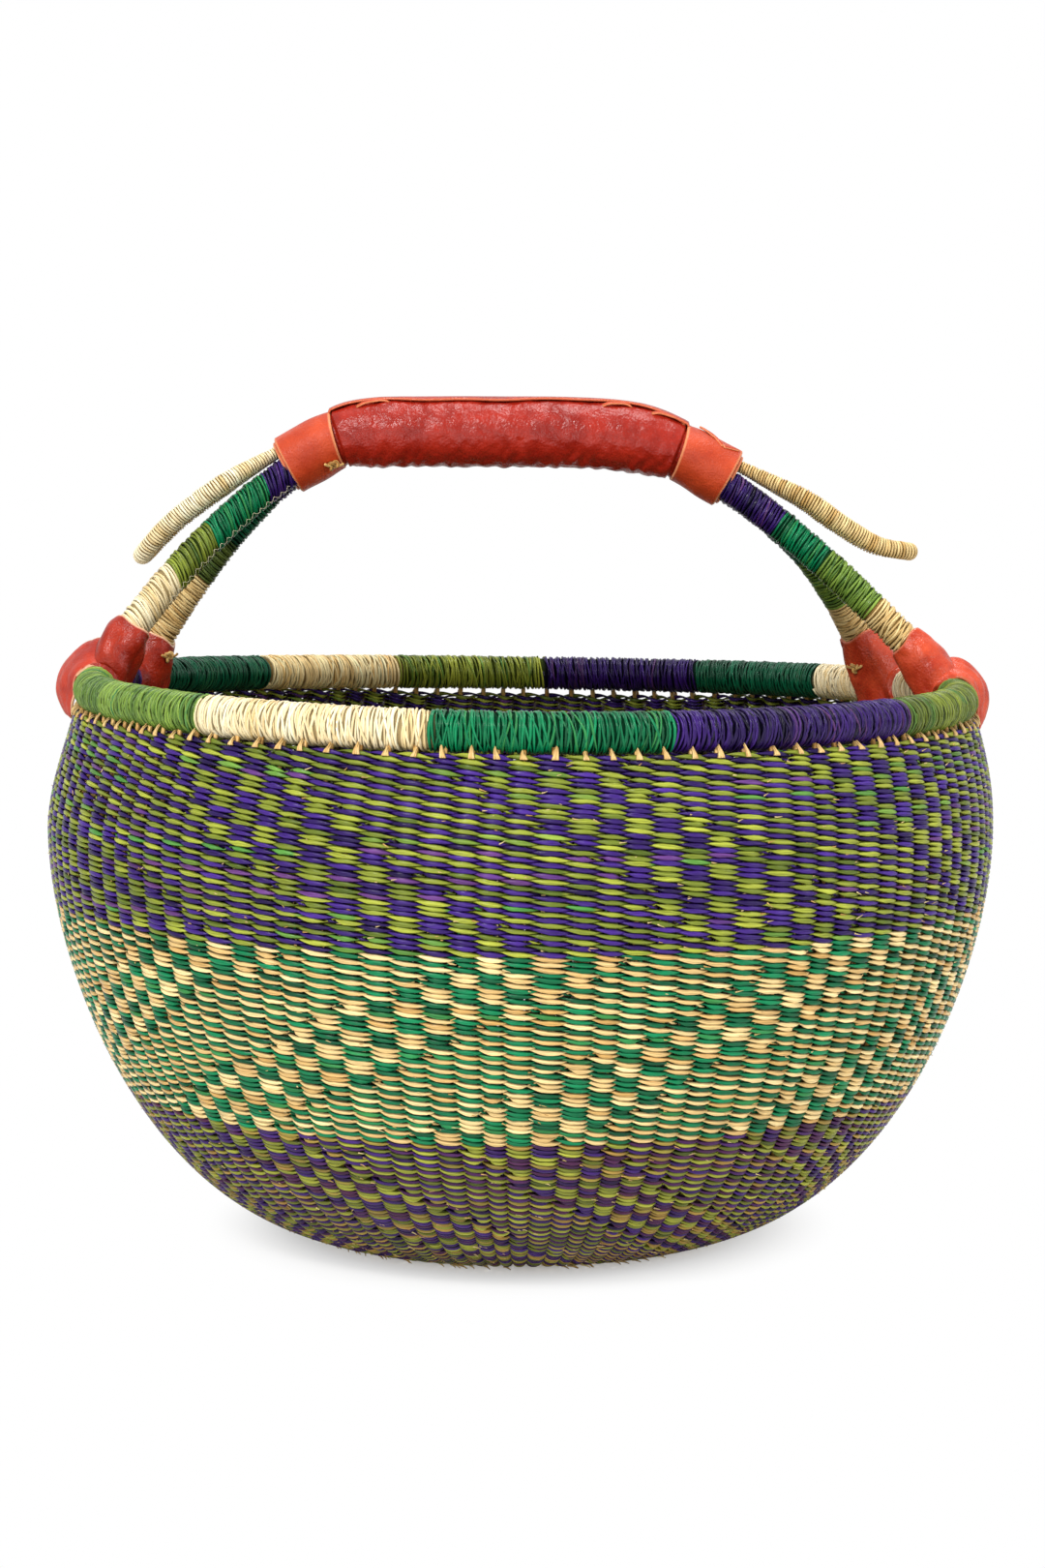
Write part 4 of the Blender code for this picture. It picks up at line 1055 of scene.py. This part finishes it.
def make_grip():
    """The grip's leather with its creases and its seam, and a cuff over each end."""
    stations = np.linspace(CUFF_LENGTH * 0.7, grip.length - CUFF_LENGTH * 0.7, 300)
    around = 112
    rings, out = rings_round(grip, stations, grip_radius(stations), around)
    turn = 2 * math.pi * np.arange(around) / around
    under = smooth_step((0.15 - np.cos(turn)) / 1.0)[None]
    ribs = np.sin(stations[:, None] * CREASE_WAVES + 2.2 * turn[None] + 5 * lumps(rings, 75, 5))
    ribs = ribs * (0.55 + 0.9 * lumps(rings, 90, 8))
    swell = 0.00045 * lumps(rings, 130, 1) + 0.00032 * lumps(rings, 330, 2) + 0.00046 * under * ribs
    rings = rings + out * swell[..., None]
    leather("leather_grip", rings, GRIP_LEATHER, "grip_leather", ["grip_leather", "grip_core"])
    make_seam()
    for name, mouth, side in (("cuff_left", 0, 1), ("cuff_right", grip.length, -1)):
        make_cuff(name, mouth, side)


def grip_place(station, angle, lift=0.0):
    """A point on the grip's leather at an angle up from its front, and the way out there."""
    _, level, upper = grip.frames(station)
    level = np.where(level[..., 1:2] > 0, -level, level)
    out = np.cos(angle)[..., None] * level + np.sin(angle)[..., None] * upper
    return grip.at(station) + out * (grip_radius(station) + lift)[..., None], out


def make_seam():
    """The leather's upper edge folded over the grip's seam, and the lace that shows in it here and there."""
    stations = np.linspace(CUFF_LENGTH * 0.98, grip.length - CUFF_LENGTH * 0.98, 160)
    wander = np.radians(SEAM_WANDER) * np.sin(stations * 55) + np.radians(SEAM_WANDER / 2) * np.sin(stations * 170)
    edge = math.radians(SEAM_ANGLE) + wander
    rows = []
    for share in np.linspace(0, 1, 12):
        lift = SEAM_LIFT * (1 - share**2) - 0.0004 * share
        rows.append(grip_place(stations, edge + math.radians(SEAM_SPREAD) * share, np.full(len(stations), lift))[0])
    grid = np.stack(rows, 1)
    sheet("leather_grip_seam", grid, SEAM_LIFT, "grip_leather", ["grip_lace"])
    for number, (first, last) in enumerate(LACE_SHARES):
        along = np.linspace(first, last, 16) * grip.length
        share = np.linspace(-1, 1, 16)
        angle = edge[0] + np.radians(LACE_SLANT) * share - np.radians(3)
        lift = SEAM_LIFT + 0.0006 - 0.0016 * share**4
        points, out = grip_place(along, angle, lift)
        thong(f"leather_lace_{number + 1}", points, LACE_WIDTH, LACE_THICKNESS, out, "cuff_leather")


def make_cuff(name, mouth, side):
    """A collar with raw edges, a second layer that shows in its mouth and soft pulls across it."""
    share = np.linspace(0, 1, 30)
    stations = mouth + side * CUFF_LENGTH * share
    radius = CUFF_RADIUS - 0.0004 * share + 0.0005 * np.sin(math.pi * share)
    rings, out = rings_round(grip, stations, radius, 72, CUFF_WIDTH_SHARE)
    turn = 2 * math.pi * np.arange(72) / 72
    pulls = np.sin(5 * turn[None] + 160 * side * stations[:, None]) * lumps(rings, 55, 6)
    rings = rings + out * (0.0004 * lumps(rings, 90, 3) + 0.0004 * pulls)[..., None]
    skewed = np.array((side, 0, 0)) * (0.0014 * np.cos(turn + 0.7))[None, :, None] * share[:, None, None]
    rings = rings + skewed
    leather(f"leather_{name}", rings, CUFF_LEATHER, "cuff_leather", [name])
    stations = mouth - side * LINING_REACH + side * np.linspace(0, 0.010, 12)
    rings, out = rings_round(grip, np.clip(stations, 0, grip.length), np.full(12, CUFF_RADIUS - CUFF_LEATHER - 0.0004), 64, CUFF_WIDTH_SHARE)
    outside = np.minimum(np.clip(stations, 0, grip.length) - stations, LINING_REACH) if side > 0 else stations - np.clip(stations, 0, grip.length)
    forward = grip.along(mouth)
    rings = rings - side * forward * np.abs(outside)[:, None, None]
    leather(f"leather_{name}_lining", rings, 0.0011, "cuff_leather", [])
    if name == "cuff_right":
        crosses = ((0.30, 0.62, 78, 52), (0.62, 0.92, 52, 70), (0.16, 0.42, 88, 66))
        for number, (first, last, high, low) in enumerate(crosses):
            along = mouth + side * CUFF_LENGTH * (1 - np.linspace(first, last, 10))
            angle = np.radians(np.linspace(high, low, 10))
            points, out = cuff_place(along, angle, 0.0007)
            thong(f"leather_cross_{number + 1}", points, LACE_WIDTH, LACE_THICKNESS, out, "cuff_leather")


def cuff_place(station, angle, lift):
    """A point on a cuff at an angle up from its front, and the way out there."""
    _, level, upper = grip.frames(station)
    level = np.where(level[..., 1:2] > 0, -level, level)
    wide = CUFF_RADIUS * CUFF_WIDTH_SHARE + lift
    high = CUFF_RADIUS + lift
    place = np.cos(angle)[..., None] * level * wide + np.sin(angle)[..., None] * upper * high
    out = unit(np.cos(angle)[..., None] * level / wide + np.sin(angle)[..., None] * upper / high)
    return grip.at(station) + place, out


def clear_of_rim(points, distance):
    """Moves the points that lie nearer to the rim's middle line out to a distance from it."""
    x = points[..., 0] - RIM_SHIFT_RIGHT
    angle = np.arctan2(points[..., 1], x)
    line = np.stack([np.cos(angle), np.sin(angle), np.zeros(angle.shape)], -1) * RIM_RADIUS
    line[..., 0] += RIM_SHIFT_RIGHT
    line[..., 2] += RIM_HEIGHT + rim_rise(angle)
    away = points - line
    length = np.linalg.norm(away, axis=-1, keepdims=True)
    return np.where(length < distance, line + away * (distance / length), points)


def make_boot(name):
    """The leather sleeve on a leg's foot, its end round the rim and the strap over the rim's outside."""
    path = leg_path(name)
    angle = math.radians(LEG_FOOT_ANGLES[name])
    top = RIM_WRAP_RADIUS + CLEARANCE + BOOT_LENGTH * BOOT_HEIGHT_SHARES[name]
    stations = np.linspace(RIM_WRAP_RADIUS - 0.0045, top, 34)
    around = 72
    middle = (BOOT_TOP_RADIUS + BOOT_BULGE_RADIUS) / 2
    profile = [BOOT_FOOT_RADIUS + 0.0012, BOOT_FOOT_RADIUS + 0.0004, BOOT_BULGE_RADIUS, BOOT_BULGE_RADIUS - 0.0002, middle, BOOT_TOP_RADIUS]
    radii = np.interp(np.linspace(0, 5, 34), np.arange(6), profile)
    turn = 2 * math.pi * np.arange(around) / around
    rings, out = rings_round(path, stations, radii, around)
    share = np.linspace(0, 1, 34)[:, None]
    seed = list(LEG_FOOT_ANGLES).index(name)
    folds = np.sin(3 * turn[None] + 9 * share + 2.5 * lumps(rings, 45, seed + 7)) * np.sin(math.pi * share)
    swell = BOOT_FOLDS[name] * folds + 0.0004 * lumps(rings, 150, 4)
    swell = swell + BOOT_WRINKLES * wrinkles(rings, 85, seed + 3)
    rings = rings + out * swell[..., None]
    lip = 0.0011 * np.sin(turn + seed) + 0.0008 * np.sin(3 * turn + 2 * seed)
    rings = rings + path.along(top) * (lip * share**3)[..., None]
    gap = np.exp(-((((turn - BOOT_SLITS[name] + math.pi) % (2 * math.pi) - math.pi) / 0.16) ** 2))
    rings = rings - path.along(top) * (0.0042 * gap * share**4)[..., None]
    inward = -rim_point(angle) / np.linalg.norm(rim_point(angle)[:2])
    facing = out[..., 0] * inward[0] + out[..., 1] * inward[1]
    inner, outer = np.clip(facing, 0, 1), np.clip(-facing, 0, 1)
    rings[..., 2] -= BOOT_SKIRT * (0.5 + 0.5 * inner**0.7 + 0.6 * outer**0.7) * (1 - share) ** 2
    level_out = np.array((-inward[0], -inward[1], 0))
    rings = rings + level_out * (BOOT_FLARES[name] * outer**0.7 * (1 - share) ** 1.5)[..., None]
    nearer = np.array((inward[1], -inward[0], 0)) * (1 if inward[0] > 0 else -1)
    near = np.clip(out @ nearer, 0, 1)
    rings = rings + nearer * (BOOT_SPREADS[name] * near**0.7 * (1 - share) ** 1.5)[..., None]
    rings = clear_of_rim(rings, RIM_WRAP_RADIUS + BOOT_ON_RIM)
    leather(f"leather_boot_{name}", rings, BOOT_LEATHER, BOOT_DYES[name], [f"boot_{name}"])
    make_strap(name, angle)


def make_strap(name, angle):
    """Leather from under a boot, over the rim's outside, to a tip on the wall."""
    centre = rim_point(angle)
    outward = np.array((math.cos(angle), math.sin(angle), 0))
    level = np.array((-math.sin(angle), math.cos(angle), 0))
    nearer = 1 if level[1] < 0 else -1
    degrees = np.linspace(118, STRAP_ENDS[name], 44)
    edges = []
    for stands in (STRAP_FAR_STANDS[name], STRAP_NEAR_STANDS[name]):
        angles, stand = np.array(stands[::-1]).T
        reach = RIM_WRAP_RADIUS + STRAP_THICKNESS * 0.8 + np.interp(degrees, angles, stand)
        line = reach[:, None] * np.stack([np.cos(np.radians(degrees)), np.sin(np.radians(degrees))], -1)
        tail_height = WALL_TOP - STRAP_TAIL_DROP
        edge = float(np.interp(-tail_height, -skin.points[:80, 2], skin.points[:80, 0])) + STRAP_THICKNESS
        tail = np.array(((edge - RIM_RADIUS), tail_height - RIM_HEIGHT))
        line = np.vstack([line, line[-1] + (tail - line[-1]) * np.linspace(0, 1, 9)[1:, None]])
        weights = np.array((1, 2, 3, 2, 1)) / 9
        padded = np.vstack([line[:1], line[:1], line, line[-1:], line[-1:]])
        edges.append(np.stack([np.convolve(axis, weights, "valid") for axis in padded.T], -1))
    far, near = edges
    share = np.linspace(0, 1, len(far))
    half = STRAP_WIDTH / 2 * (0.70 + 0.38 * smooth_step(share / 0.3) - 0.25 * smooth_step((share - 0.35) / 0.4) - 0.60 * smooth_step((share - 0.72) / 0.28))
    columns = np.linspace(-1, 1, 15)
    toward = (columns * nearer + 1)[None, :, None] / 2
    line = far[:, None] * (1 - toward) + near[:, None] * toward
    flat = centre + line[..., :1] * outward + line[..., 1:] * np.array((0, 0, 1.0))
    grid = flat + level * (half[:, None] * columns)[..., None]
    radial = unit(line[..., :1] * outward + line[..., 1:] * np.array((0, 0, 1.0)))
    creases = 0.5 * np.sin(9 * columns[None] + 5 * share[:, None]) * STRAP_CREASES[name]
    puff = 0.0006 * lumps(grid, 120, 9) + (1 - columns**2)[None] * 0.0008 + creases
    puff = puff + STRAP_WRINKLES * wrinkles(grid, 95, 12)
    grid = grid + radial * puff[..., None]
    curve = RIM_RADIUS - np.sqrt(RIM_RADIUS**2 - (half[:, None] * columns) ** 2)
    grid = grid - outward * curve[..., None]
    dye = "strap_leather" if name == "front_left" else BOOT_DYES[name]
    sheet(f"leather_strap_{name}", grid, STRAP_THICKNESS * 0.7, dye, [f"strap_{name}"])


def make_knot(name, place, out, nodes):
    """A small overhand knot of straw with two short ends."""
    turn = np.linspace(0, 2 * math.pi, 49)[:-1]
    side = unit(np.cross(out, (0, 0, 1)))
    up = np.cross(side, out)
    curve = np.stack([np.sin(turn) + 2 * np.sin(2 * turn), np.cos(turn) - 2 * np.cos(2 * turn), -np.sin(3 * turn)], -1)
    curve = curve * KNOT_RADIUS * np.array((0.30, 0.34, 0.30))
    points = place + curve[:, :1] * side + curve[:, 1:2] * up + curve[:, 2:] * out
    bundle = Bundle()
    strand(bundle, points, KNOT_STRAND, "tan", closed=True)
    for way, lift in ((1, 0.5), (-1, 0.8)):
        end = place + side * way * KNOT_RADIUS * np.linspace(0.3, 1.9, 6)[:, None]
        end = end + up * (lift * KNOT_RADIUS * np.linspace(-0.4, 0.9, 6) ** 2)[:, None]
        strand(bundle, end + out * KNOT_RADIUS * 0.2, KNOT_STRAND * 0.8, "tan")
    obj = bundle.build(name, materials["straw"])
    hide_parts(*nodes)


def strand(bundle, points, radius, colour, closed=False, tone=None):
    """Adds one thin round strand along points."""
    points = np.array(points, float)
    if closed:
        forward = unit(np.roll(points, -1, 0) - np.roll(points, 1, 0))
    else:
        forward = unit(np.gradient(points, axis=0))
    guide = np.array((0.31, 0.22, 0.92))
    wide = unit(np.cross(forward, guide))
    deep = np.cross(wide, forward)
    radii = np.broadcast_to(radius, (len(points),))[:, None]
    share = random.uniform(0.2, 1.0) if tone is None else tone
    bundle.add(points, wide * radii, deep * radii, straw_tint(colour, np.full(len(points), share)), closed)


def make_knots():
    """Knots on the left cuff's lower front and on the inner side of each back boot."""
    station = np.array([CUFF_LENGTH * CUFF_KNOT_SHARE])
    place, out = cuff_place(station, np.radians([-KNOT_ANGLE]), KNOT_RADIUS * 0.5)
    make_knot("knot_on_cuff_left", place[0], out[0], ["knot_cuff_left"])
    for name in ("back_left", "back_right"):
        path = leg_path(name)
        station = RIM_WRAP_RADIUS + BOOT_LENGTH * BOOT_KNOT_SHARE
        _, _, upper = path.frames(station)
        out = unit(-upper + np.array((0, -0.9, 0)))
        place = path.at(station) + out * (BOOT_BULGE_RADIUS + KNOT_RADIUS * 0.4)
        make_knot(f"knot_on_boot_{name}", place, out, [f"knot_boot_{name}"])


def make_threads():
    """A thin pale thread that catches the turns of the front-left leg along the line where the two legs meet."""
    bundle = Bundle(5)
    for name in ("front_left", "front_right"):
        path = leg_path(name)
        start = RIM_WRAP_RADIUS + BOOT_LENGTH + 0.018
        stations = np.arange(start, path.length - 0.012, 0.0004)
        _, level, upper = path.frames(stations)
        level = np.where(level[:, 1:2] > 0, -level, level)
        wave = stations * 2 * math.pi / THREAD_WAVE
        angle = np.radians(THREAD_ANGLE) + 0.14 * np.sin(wave) + 0.05 * np.sin(wave * 0.37)
        out = np.cos(angle)[:, None] * level + np.sin(angle)[:, None] * upper
        lift = LEG_RADIUS + 0.0001 + 0.0004 * np.abs(np.cos(wave))
        if name == "front_left":
            strand(bundle, path.at(stations) + out * lift[:, None], THREAD_RADIUS, "natural", tone=0.8)
    obj = bundle.build("threads", materials["straw"])


def make_specks():
    """Split ends of straw that stand out of the weave, and cut stubs along the foot."""
    bundle = Bundle(4)
    foot = station_of_height(FOOT_RING_HEIGHT)
    for number in range(SPECKS):
        station = random.uniform(0.004, foot - 0.003)
        angle = random.uniform(0, 2 * math.pi)
        length = random.uniform(*SPECK_LENGTHS)
        tilt = random.normal(-0.12, 0.30)
        speck(bundle, station, angle, length, tilt, random.uniform(0.0002, 0.0011), SPECK_RADIUS)
    for number in range(FOOT_STUBS):
        angle = random.uniform(0, 2 * math.pi)
        speck(bundle, foot + random.uniform(-0.001, 0.002), angle, random.uniform(0.002, 0.005), random.normal(-0.1, 0.4), 0.0016, 0.0006)
    obj = bundle.build("specks", materials["straw"])


def speck(bundle, station, angle, length, tilt, lift, radius):
    """One short fibre that lies along the weave, with an end that lifts off it."""
    share = np.linspace(0, 1, 4)
    outer = skin.at(station)
    down = skin.along(station)
    normal = np.array((-down[2], down[0]))
    along = length * math.cos(tilt) * share / outer[0]
    rise = length * math.sin(tilt) * share + lift * share**2 * 0.3
    out = -0.0004 + lift * share**1.5
    radial = outer[0] + out * normal[0] - rise * down[0]
    height = outer[2] + out * normal[1] - rise * down[2]
    turned = angle + along
    points = seated(np.stack([radial * np.cos(turned), radial * np.sin(turned), height], -1))
    points[:, 2] = np.maximum(points[:, 2], 0.0007)
    strand(bundle, points, radius * (1 - 0.75 * share), "wheat" if random.random() < 0.6 else "tan")


# Materials


def node(tree, kind, **values):
    """Adds a node and sets its named inputs and properties."""
    made = tree.nodes.new(kind)
    for key, value in values.items():
        if key in made.inputs:
            made.inputs[key].default_value = value
        else:
            setattr(made, key, value)
    return made


def new_material(name, roughness, colour=(0.5, 0.5, 0.5)):
    material = bpy.data.materials.new(name)
    material.use_nodes = True
    shader = material.node_tree.nodes["Principled BSDF"]
    shader.inputs["Roughness"].default_value = roughness
    shader.inputs["Base Color"].default_value = (*colour, 1)
    return material, material.node_tree, shader


def straw_material():
    """Split straw: fine streaks along each strand, a soft sheen, and painted shade that darkens each strand towards
    its edges, more on dark straws than on pale ones.
    """
    material, tree, shader = new_material("straw", 0.42)
    link = tree.links.new
    tint = node(tree, "ShaderNodeAttribute", attribute_name="tint")
    fibre = node(tree, "ShaderNodeAttribute", attribute_name="fibre")
    fine = node(tree, "ShaderNodeMapping", Scale=(70, 3.6, 3.6))
    streaks = node(tree, "ShaderNodeTexNoise", Scale=1.0, Detail=3.0, Roughness=0.6)
    link(fibre.outputs["Vector"], fine.inputs["Vector"])
    link(fine.outputs["Vector"], streaks.inputs["Vector"])
    light = node(tree, "ShaderNodeMapRange")
    for key, value in {"From Min": 0.3, "From Max": 0.72, "To Min": 0.52, "To Max": 1.56}.items():
        light.inputs[key].default_value = value
    link(streaks.outputs["Fac"], light.inputs["Value"])
    # Painted shade: the colour falls towards each strand's edges, where the beads meet, to 0.16 of itself on dark
    # straw and 0.5 on pale straw.
    around = node(tree, "ShaderNodeSeparateXYZ")
    aside = node(tree, "ShaderNodeMath", operation="ABSOLUTE")
    groove_shade = node(tree, "ShaderNodeMapRange", interpolation_type="SMOOTHSTEP")
    for key, value in {"From Min": 0.50, "From Max": 1.0, "To Min": 1.0}.items():
        groove_shade.inputs[key].default_value = value
    grey = node(tree, "ShaderNodeRGBToBW")
    groove_shade_depth = node(tree, "ShaderNodeMapRange")
    for key, value in {"From Min": 0.08, "From Max": 0.60, "To Min": 0.16, "To Max": 0.50}.items():
        groove_shade_depth.inputs[key].default_value = value
    link(tint.outputs["Color"], grey.inputs["Color"])
    link(grey.outputs["Val"], groove_shade_depth.inputs["Value"])
    link(groove_shade_depth.outputs["Result"], groove_shade.inputs["To Max"])
    link(fibre.outputs["Vector"], around.inputs["Vector"])
    link(around.outputs["Y"], aside.inputs[0])
    link(aside.outputs["Value"], groove_shade.inputs["Value"])
    level = node(tree, "ShaderNodeMath", operation="MULTIPLY")
    link(light.outputs["Result"], level.inputs[0])
    link(groove_shade.outputs["Result"], level.inputs[1])
    shaded = node(tree, "ShaderNodeVectorMath", operation="SCALE")
    link(tint.outputs["Color"], shaded.inputs[0])
    link(level.outputs["Value"], shaded.inputs["Scale"])
    link(shaded.outputs["Vector"], shader.inputs["Base Color"])
    gloss = node(tree, "ShaderNodeMapRange")
    for key, value in {"From Min": 0.3, "From Max": 0.7, "To Min": 0.18, "To Max": 0.40}.items():
        gloss.inputs[key].default_value = value
    link(streaks.outputs["Fac"], gloss.inputs["Value"])
    link(gloss.outputs["Result"], shader.inputs["Roughness"])
    shader.inputs["Specular IOR Level"].default_value = 0.20
    bump = node(tree, "ShaderNodeBump", Strength=0.35, Distance=0.0004)
    link(streaks.outputs["Fac"], bump.inputs["Height"])
    link(bump.outputs["Normal"], shader.inputs["Normal"])
    return material


def bed_material():
    """The unlit straw under a binding: the darkest tint of its kind, dimmed further as painted shade, and no sheen."""
    material, tree, shader = new_material("bed", 0.95)
    shader.inputs["Specular IOR Level"].default_value = 0.1
    tint = node(tree, "ShaderNodeAttribute", attribute_name="tint")
    # The noise is grain and painted shade both: it varies the bed's colour and, at about one half on average, dims it.
    grain = node(tree, "ShaderNodeTexNoise", Scale=900.0, Detail=2.0)
    shaded = node(tree, "ShaderNodeVectorMath", operation="SCALE")
    tree.links.new(tint.outputs["Color"], shaded.inputs[0])
    tree.links.new(grain.outputs["Fac"], shaded.inputs["Scale"])
    tree.links.new(shaded.outputs["Vector"], shader.inputs["Base Color"])
    return material


def leather_material(name, dark, light, edge, roughness, grain):
    """Dyed goatskin: pebbled grain, uneven dye, and paler raw edges."""
    material, tree, shader = new_material(name, roughness)
    shader.inputs["Specular IOR Level"].default_value = LEATHER_SHEEN
    link = tree.links.new
    place = node(tree, "ShaderNodeTexCoord")
    blotch = node(tree, "ShaderNodeTexNoise", Scale=85.0, Detail=4.0, Roughness=0.6)
    link(place.outputs["Object"], blotch.inputs["Vector"])
    dye = node(tree, "ShaderNodeMix", data_type="RGBA")
    dye.inputs["A"].default_value = (*dark, 1)
    dye.inputs["B"].default_value = (*light, 1)
    spread = node(tree, "ShaderNodeMapRange")
    for key, value in {"From Min": 0.35, "From Max": 0.68}.items():
        spread.inputs[key].default_value = value
    link(blotch.outputs["Fac"], spread.inputs["Value"])
    link(spread.outputs["Result"], dye.inputs["Factor"])
    cut = node(tree, "ShaderNodeAttribute", attribute_name="cut")
    raw = node(tree, "ShaderNodeMix", data_type="RGBA")
    raw.inputs["B"].default_value = (*edge, 1)
    link(dye.outputs["Result"], raw.inputs["A"])
    link(cut.outputs["Fac"], raw.inputs["Factor"])
    link(raw.outputs["Result"], shader.inputs["Base Color"])
    cells = node(tree, "ShaderNodeTexVoronoi", Scale=grain)
    link(place.outputs["Object"], cells.inputs["Vector"])
    wrinkles = node(tree, "ShaderNodeTexNoise", Scale=grain * 0.35, Detail=5.0, Roughness=0.65)
    link(place.outputs["Object"], wrinkles.inputs["Vector"])
    height = node(tree, "ShaderNodeMath", operation="MULTIPLY_ADD")
    height.inputs[1].default_value = 0.5
    link(cells.outputs["Distance"], height.inputs[0])
    link(wrinkles.outputs["Fac"], height.inputs[2])
    bump = node(tree, "ShaderNodeBump", Strength=0.5, Distance=0.0006)
    link(height.outputs["Value"], bump.inputs["Height"])
    link(bump.outputs["Normal"], shader.inputs["Normal"])
    shine = node(tree, "ShaderNodeMapRange")
    for key, value in {"From Min": 0.3, "From Max": 0.7, "To Min": roughness - 0.08, "To Max": roughness + 0.12}.items():
        shine.inputs[key].default_value = value
    link(wrinkles.outputs["Fac"], shine.inputs["Value"])
    link(shine.outputs["Result"], shader.inputs["Roughness"])
    return material


def make_materials():
    return {
        "straw": straw_material(),
        "bed": bed_material(),
        "grip_leather": leather_material("grip_leather", (0.26, 0.010, 0.004), (0.40, 0.021, 0.009), (0.62, 0.14, 0.06), 0.26, 900),
        "cuff_leather": leather_material("cuff_leather", (0.43, 0.038, 0.009), (0.56, 0.064, 0.016), (0.74, 0.26, 0.11), 0.42, 1100),
        "dark_leather": leather_material("dark_leather", (0.22, 0.009, 0.003), (0.43, 0.030, 0.009), (0.85, 0.50, 0.30), 0.29, 1000),
        "boot_leather": leather_material("boot_leather", (0.42, 0.030, 0.010), (0.68, 0.082, 0.028), (0.62, 0.15, 0.07), 0.26, 1000),
        "strap_leather": leather_material("strap_leather", (0.33, 0.018, 0.007), (0.55, 0.046, 0.016), (0.85, 0.50, 0.30), 0.34, 1000),
    }


# Stage


def make_stage():
    """A pale floor that keeps the basket's shadow and fades to white around it, four soft lamps and the camera."""
    mesh = bpy.data.meshes.new("floor")
    mesh.from_pydata([(-9, -4, 0), (9, -4, 0), (9, 14, 0), (-9, 14, 0)], [], [(0, 1, 2, 3)])
    floor = bpy.data.objects.new("floor", mesh)
    looks.objects.link(floor)
    material, tree, shader = new_material("floor", 0.9, (0.92, 0.91, 0.89))
    link = tree.links.new
    place = node(tree, "ShaderNodeTexCoord")
    length = node(tree, "ShaderNodeVectorMath", operation="LENGTH")
    link(place.outputs["Object"], length.inputs[0])
    far = node(tree, "ShaderNodeMapRange")
    far.interpolation_type = "SMOOTHSTEP"
    for key, value in {"From Min": 0.06, "From Max": 0.145}.items():
        far.inputs[key].default_value = value
    link(length.outputs["Value"], far.inputs["Value"])
    white = node(tree, "ShaderNodeEmission", Strength=1.0)
    seen = node(tree, "ShaderNodeLightPath")
    share = node(tree, "ShaderNodeMath", operation="MULTIPLY")
    link(far.outputs["Result"], share.inputs[0])
    link(seen.outputs["Is Camera Ray"], share.inputs[1])
    mix = node(tree, "ShaderNodeMixShader")
    link(share.outputs["Value"], mix.inputs["Fac"])
    link(shader.outputs["BSDF"], mix.inputs[1])
    link(white.outputs["Emission"], mix.inputs[2])
    link(mix.outputs["Shader"], tree.nodes["Material Output"].inputs["Surface"])
    mesh.materials.append(material)

    world = bpy.data.worlds.new("studio")
    bpy.context.scene.world = world
    world.use_nodes = True
    tree = world.node_tree
    link = tree.links.new
    back = tree.nodes["Background"]
    back.inputs["Color"].default_value = (1, 1, 1, 1)
    rays = node(tree, "ShaderNodeLightPath")
    through = node(tree, "ShaderNodeMath", operation="MAXIMUM")
    link(rays.outputs["Is Glossy Ray"], through.inputs[0])
    link(rays.outputs["Is Transmission Ray"], through.inputs[1])
    seen = node(tree, "ShaderNodeMath", operation="MAXIMUM")
    link(rays.outputs["Is Camera Ray"], seen.inputs[0])
    link(through.outputs["Value"], seen.inputs[1])
    level = node(tree, "ShaderNodeMapRange")
    level.inputs["To Min"].default_value = 0.45
    level.inputs["To Max"].default_value = 1.0
    link(seen.outputs["Value"], level.inputs["Value"])
    link(level.outputs["Result"], back.inputs["Strength"])

    lamp("key", (-0.7, -1.6, 1.7), 0.45, 34)
    lamp("top", (0.3, 0.2, 2.2), 0.9, 22)
    lamp("side", (1.9, -0.9, 1.0), 0.7, 11)
    lamp("low", (-0.2, -1.7, 0.2), 0.8, 6)

    camera = bpy.data.objects.new("camera", bpy.data.cameras.new("camera"))
    looks.objects.link(camera)
    camera.data.lens = CAMERA_LENS
    camera.data.sensor_width = CAMERA_SENSOR
    camera.location = CAMERA_PLACE
    camera.rotation_euler = (math.radians(90 - CAMERA_PITCH), 0, 0)
    bpy.context.scene.camera = camera
    bpy.context.scene.view_settings.view_transform = "Standard"


def lamp(name, place, size, power):
    light = bpy.data.lights.new(name, "AREA")
    light.shape = "DISK"
    light.size = size
    light.energy = power
    obj = bpy.data.objects.new(name, light)
    looks.objects.link(obj)
    obj.location = place
    aim = Vector((0, 0, 0.18)) - Vector(place)
    obj.rotation_euler = aim.to_track_quat("-Z", "Y").to_euler()


looks = bpy.data.collections.new("looks")
bpy.context.scene.collection.children.link(looks)
skin = skin_line()
grip = grip_path()
materials = make_materials()
make_stage()
make_wall()
make_stakes()
make_rim()
for leg in LEG_FOOT_ANGLES:
    make_leg(leg)
    make_boot(leg)
make_ear("ear_left", 0, -1, LEFT_EAR_REACH, LEFT_EAR_DROP, LEFT_EAR_SHARES)
make_ear("ear_right", grip.length, 1, RIGHT_EAR_REACH, RIGHT_EAR_DROP, RIGHT_EAR_SHARES)
make_grip()
make_knots()
make_threads()
make_specks()
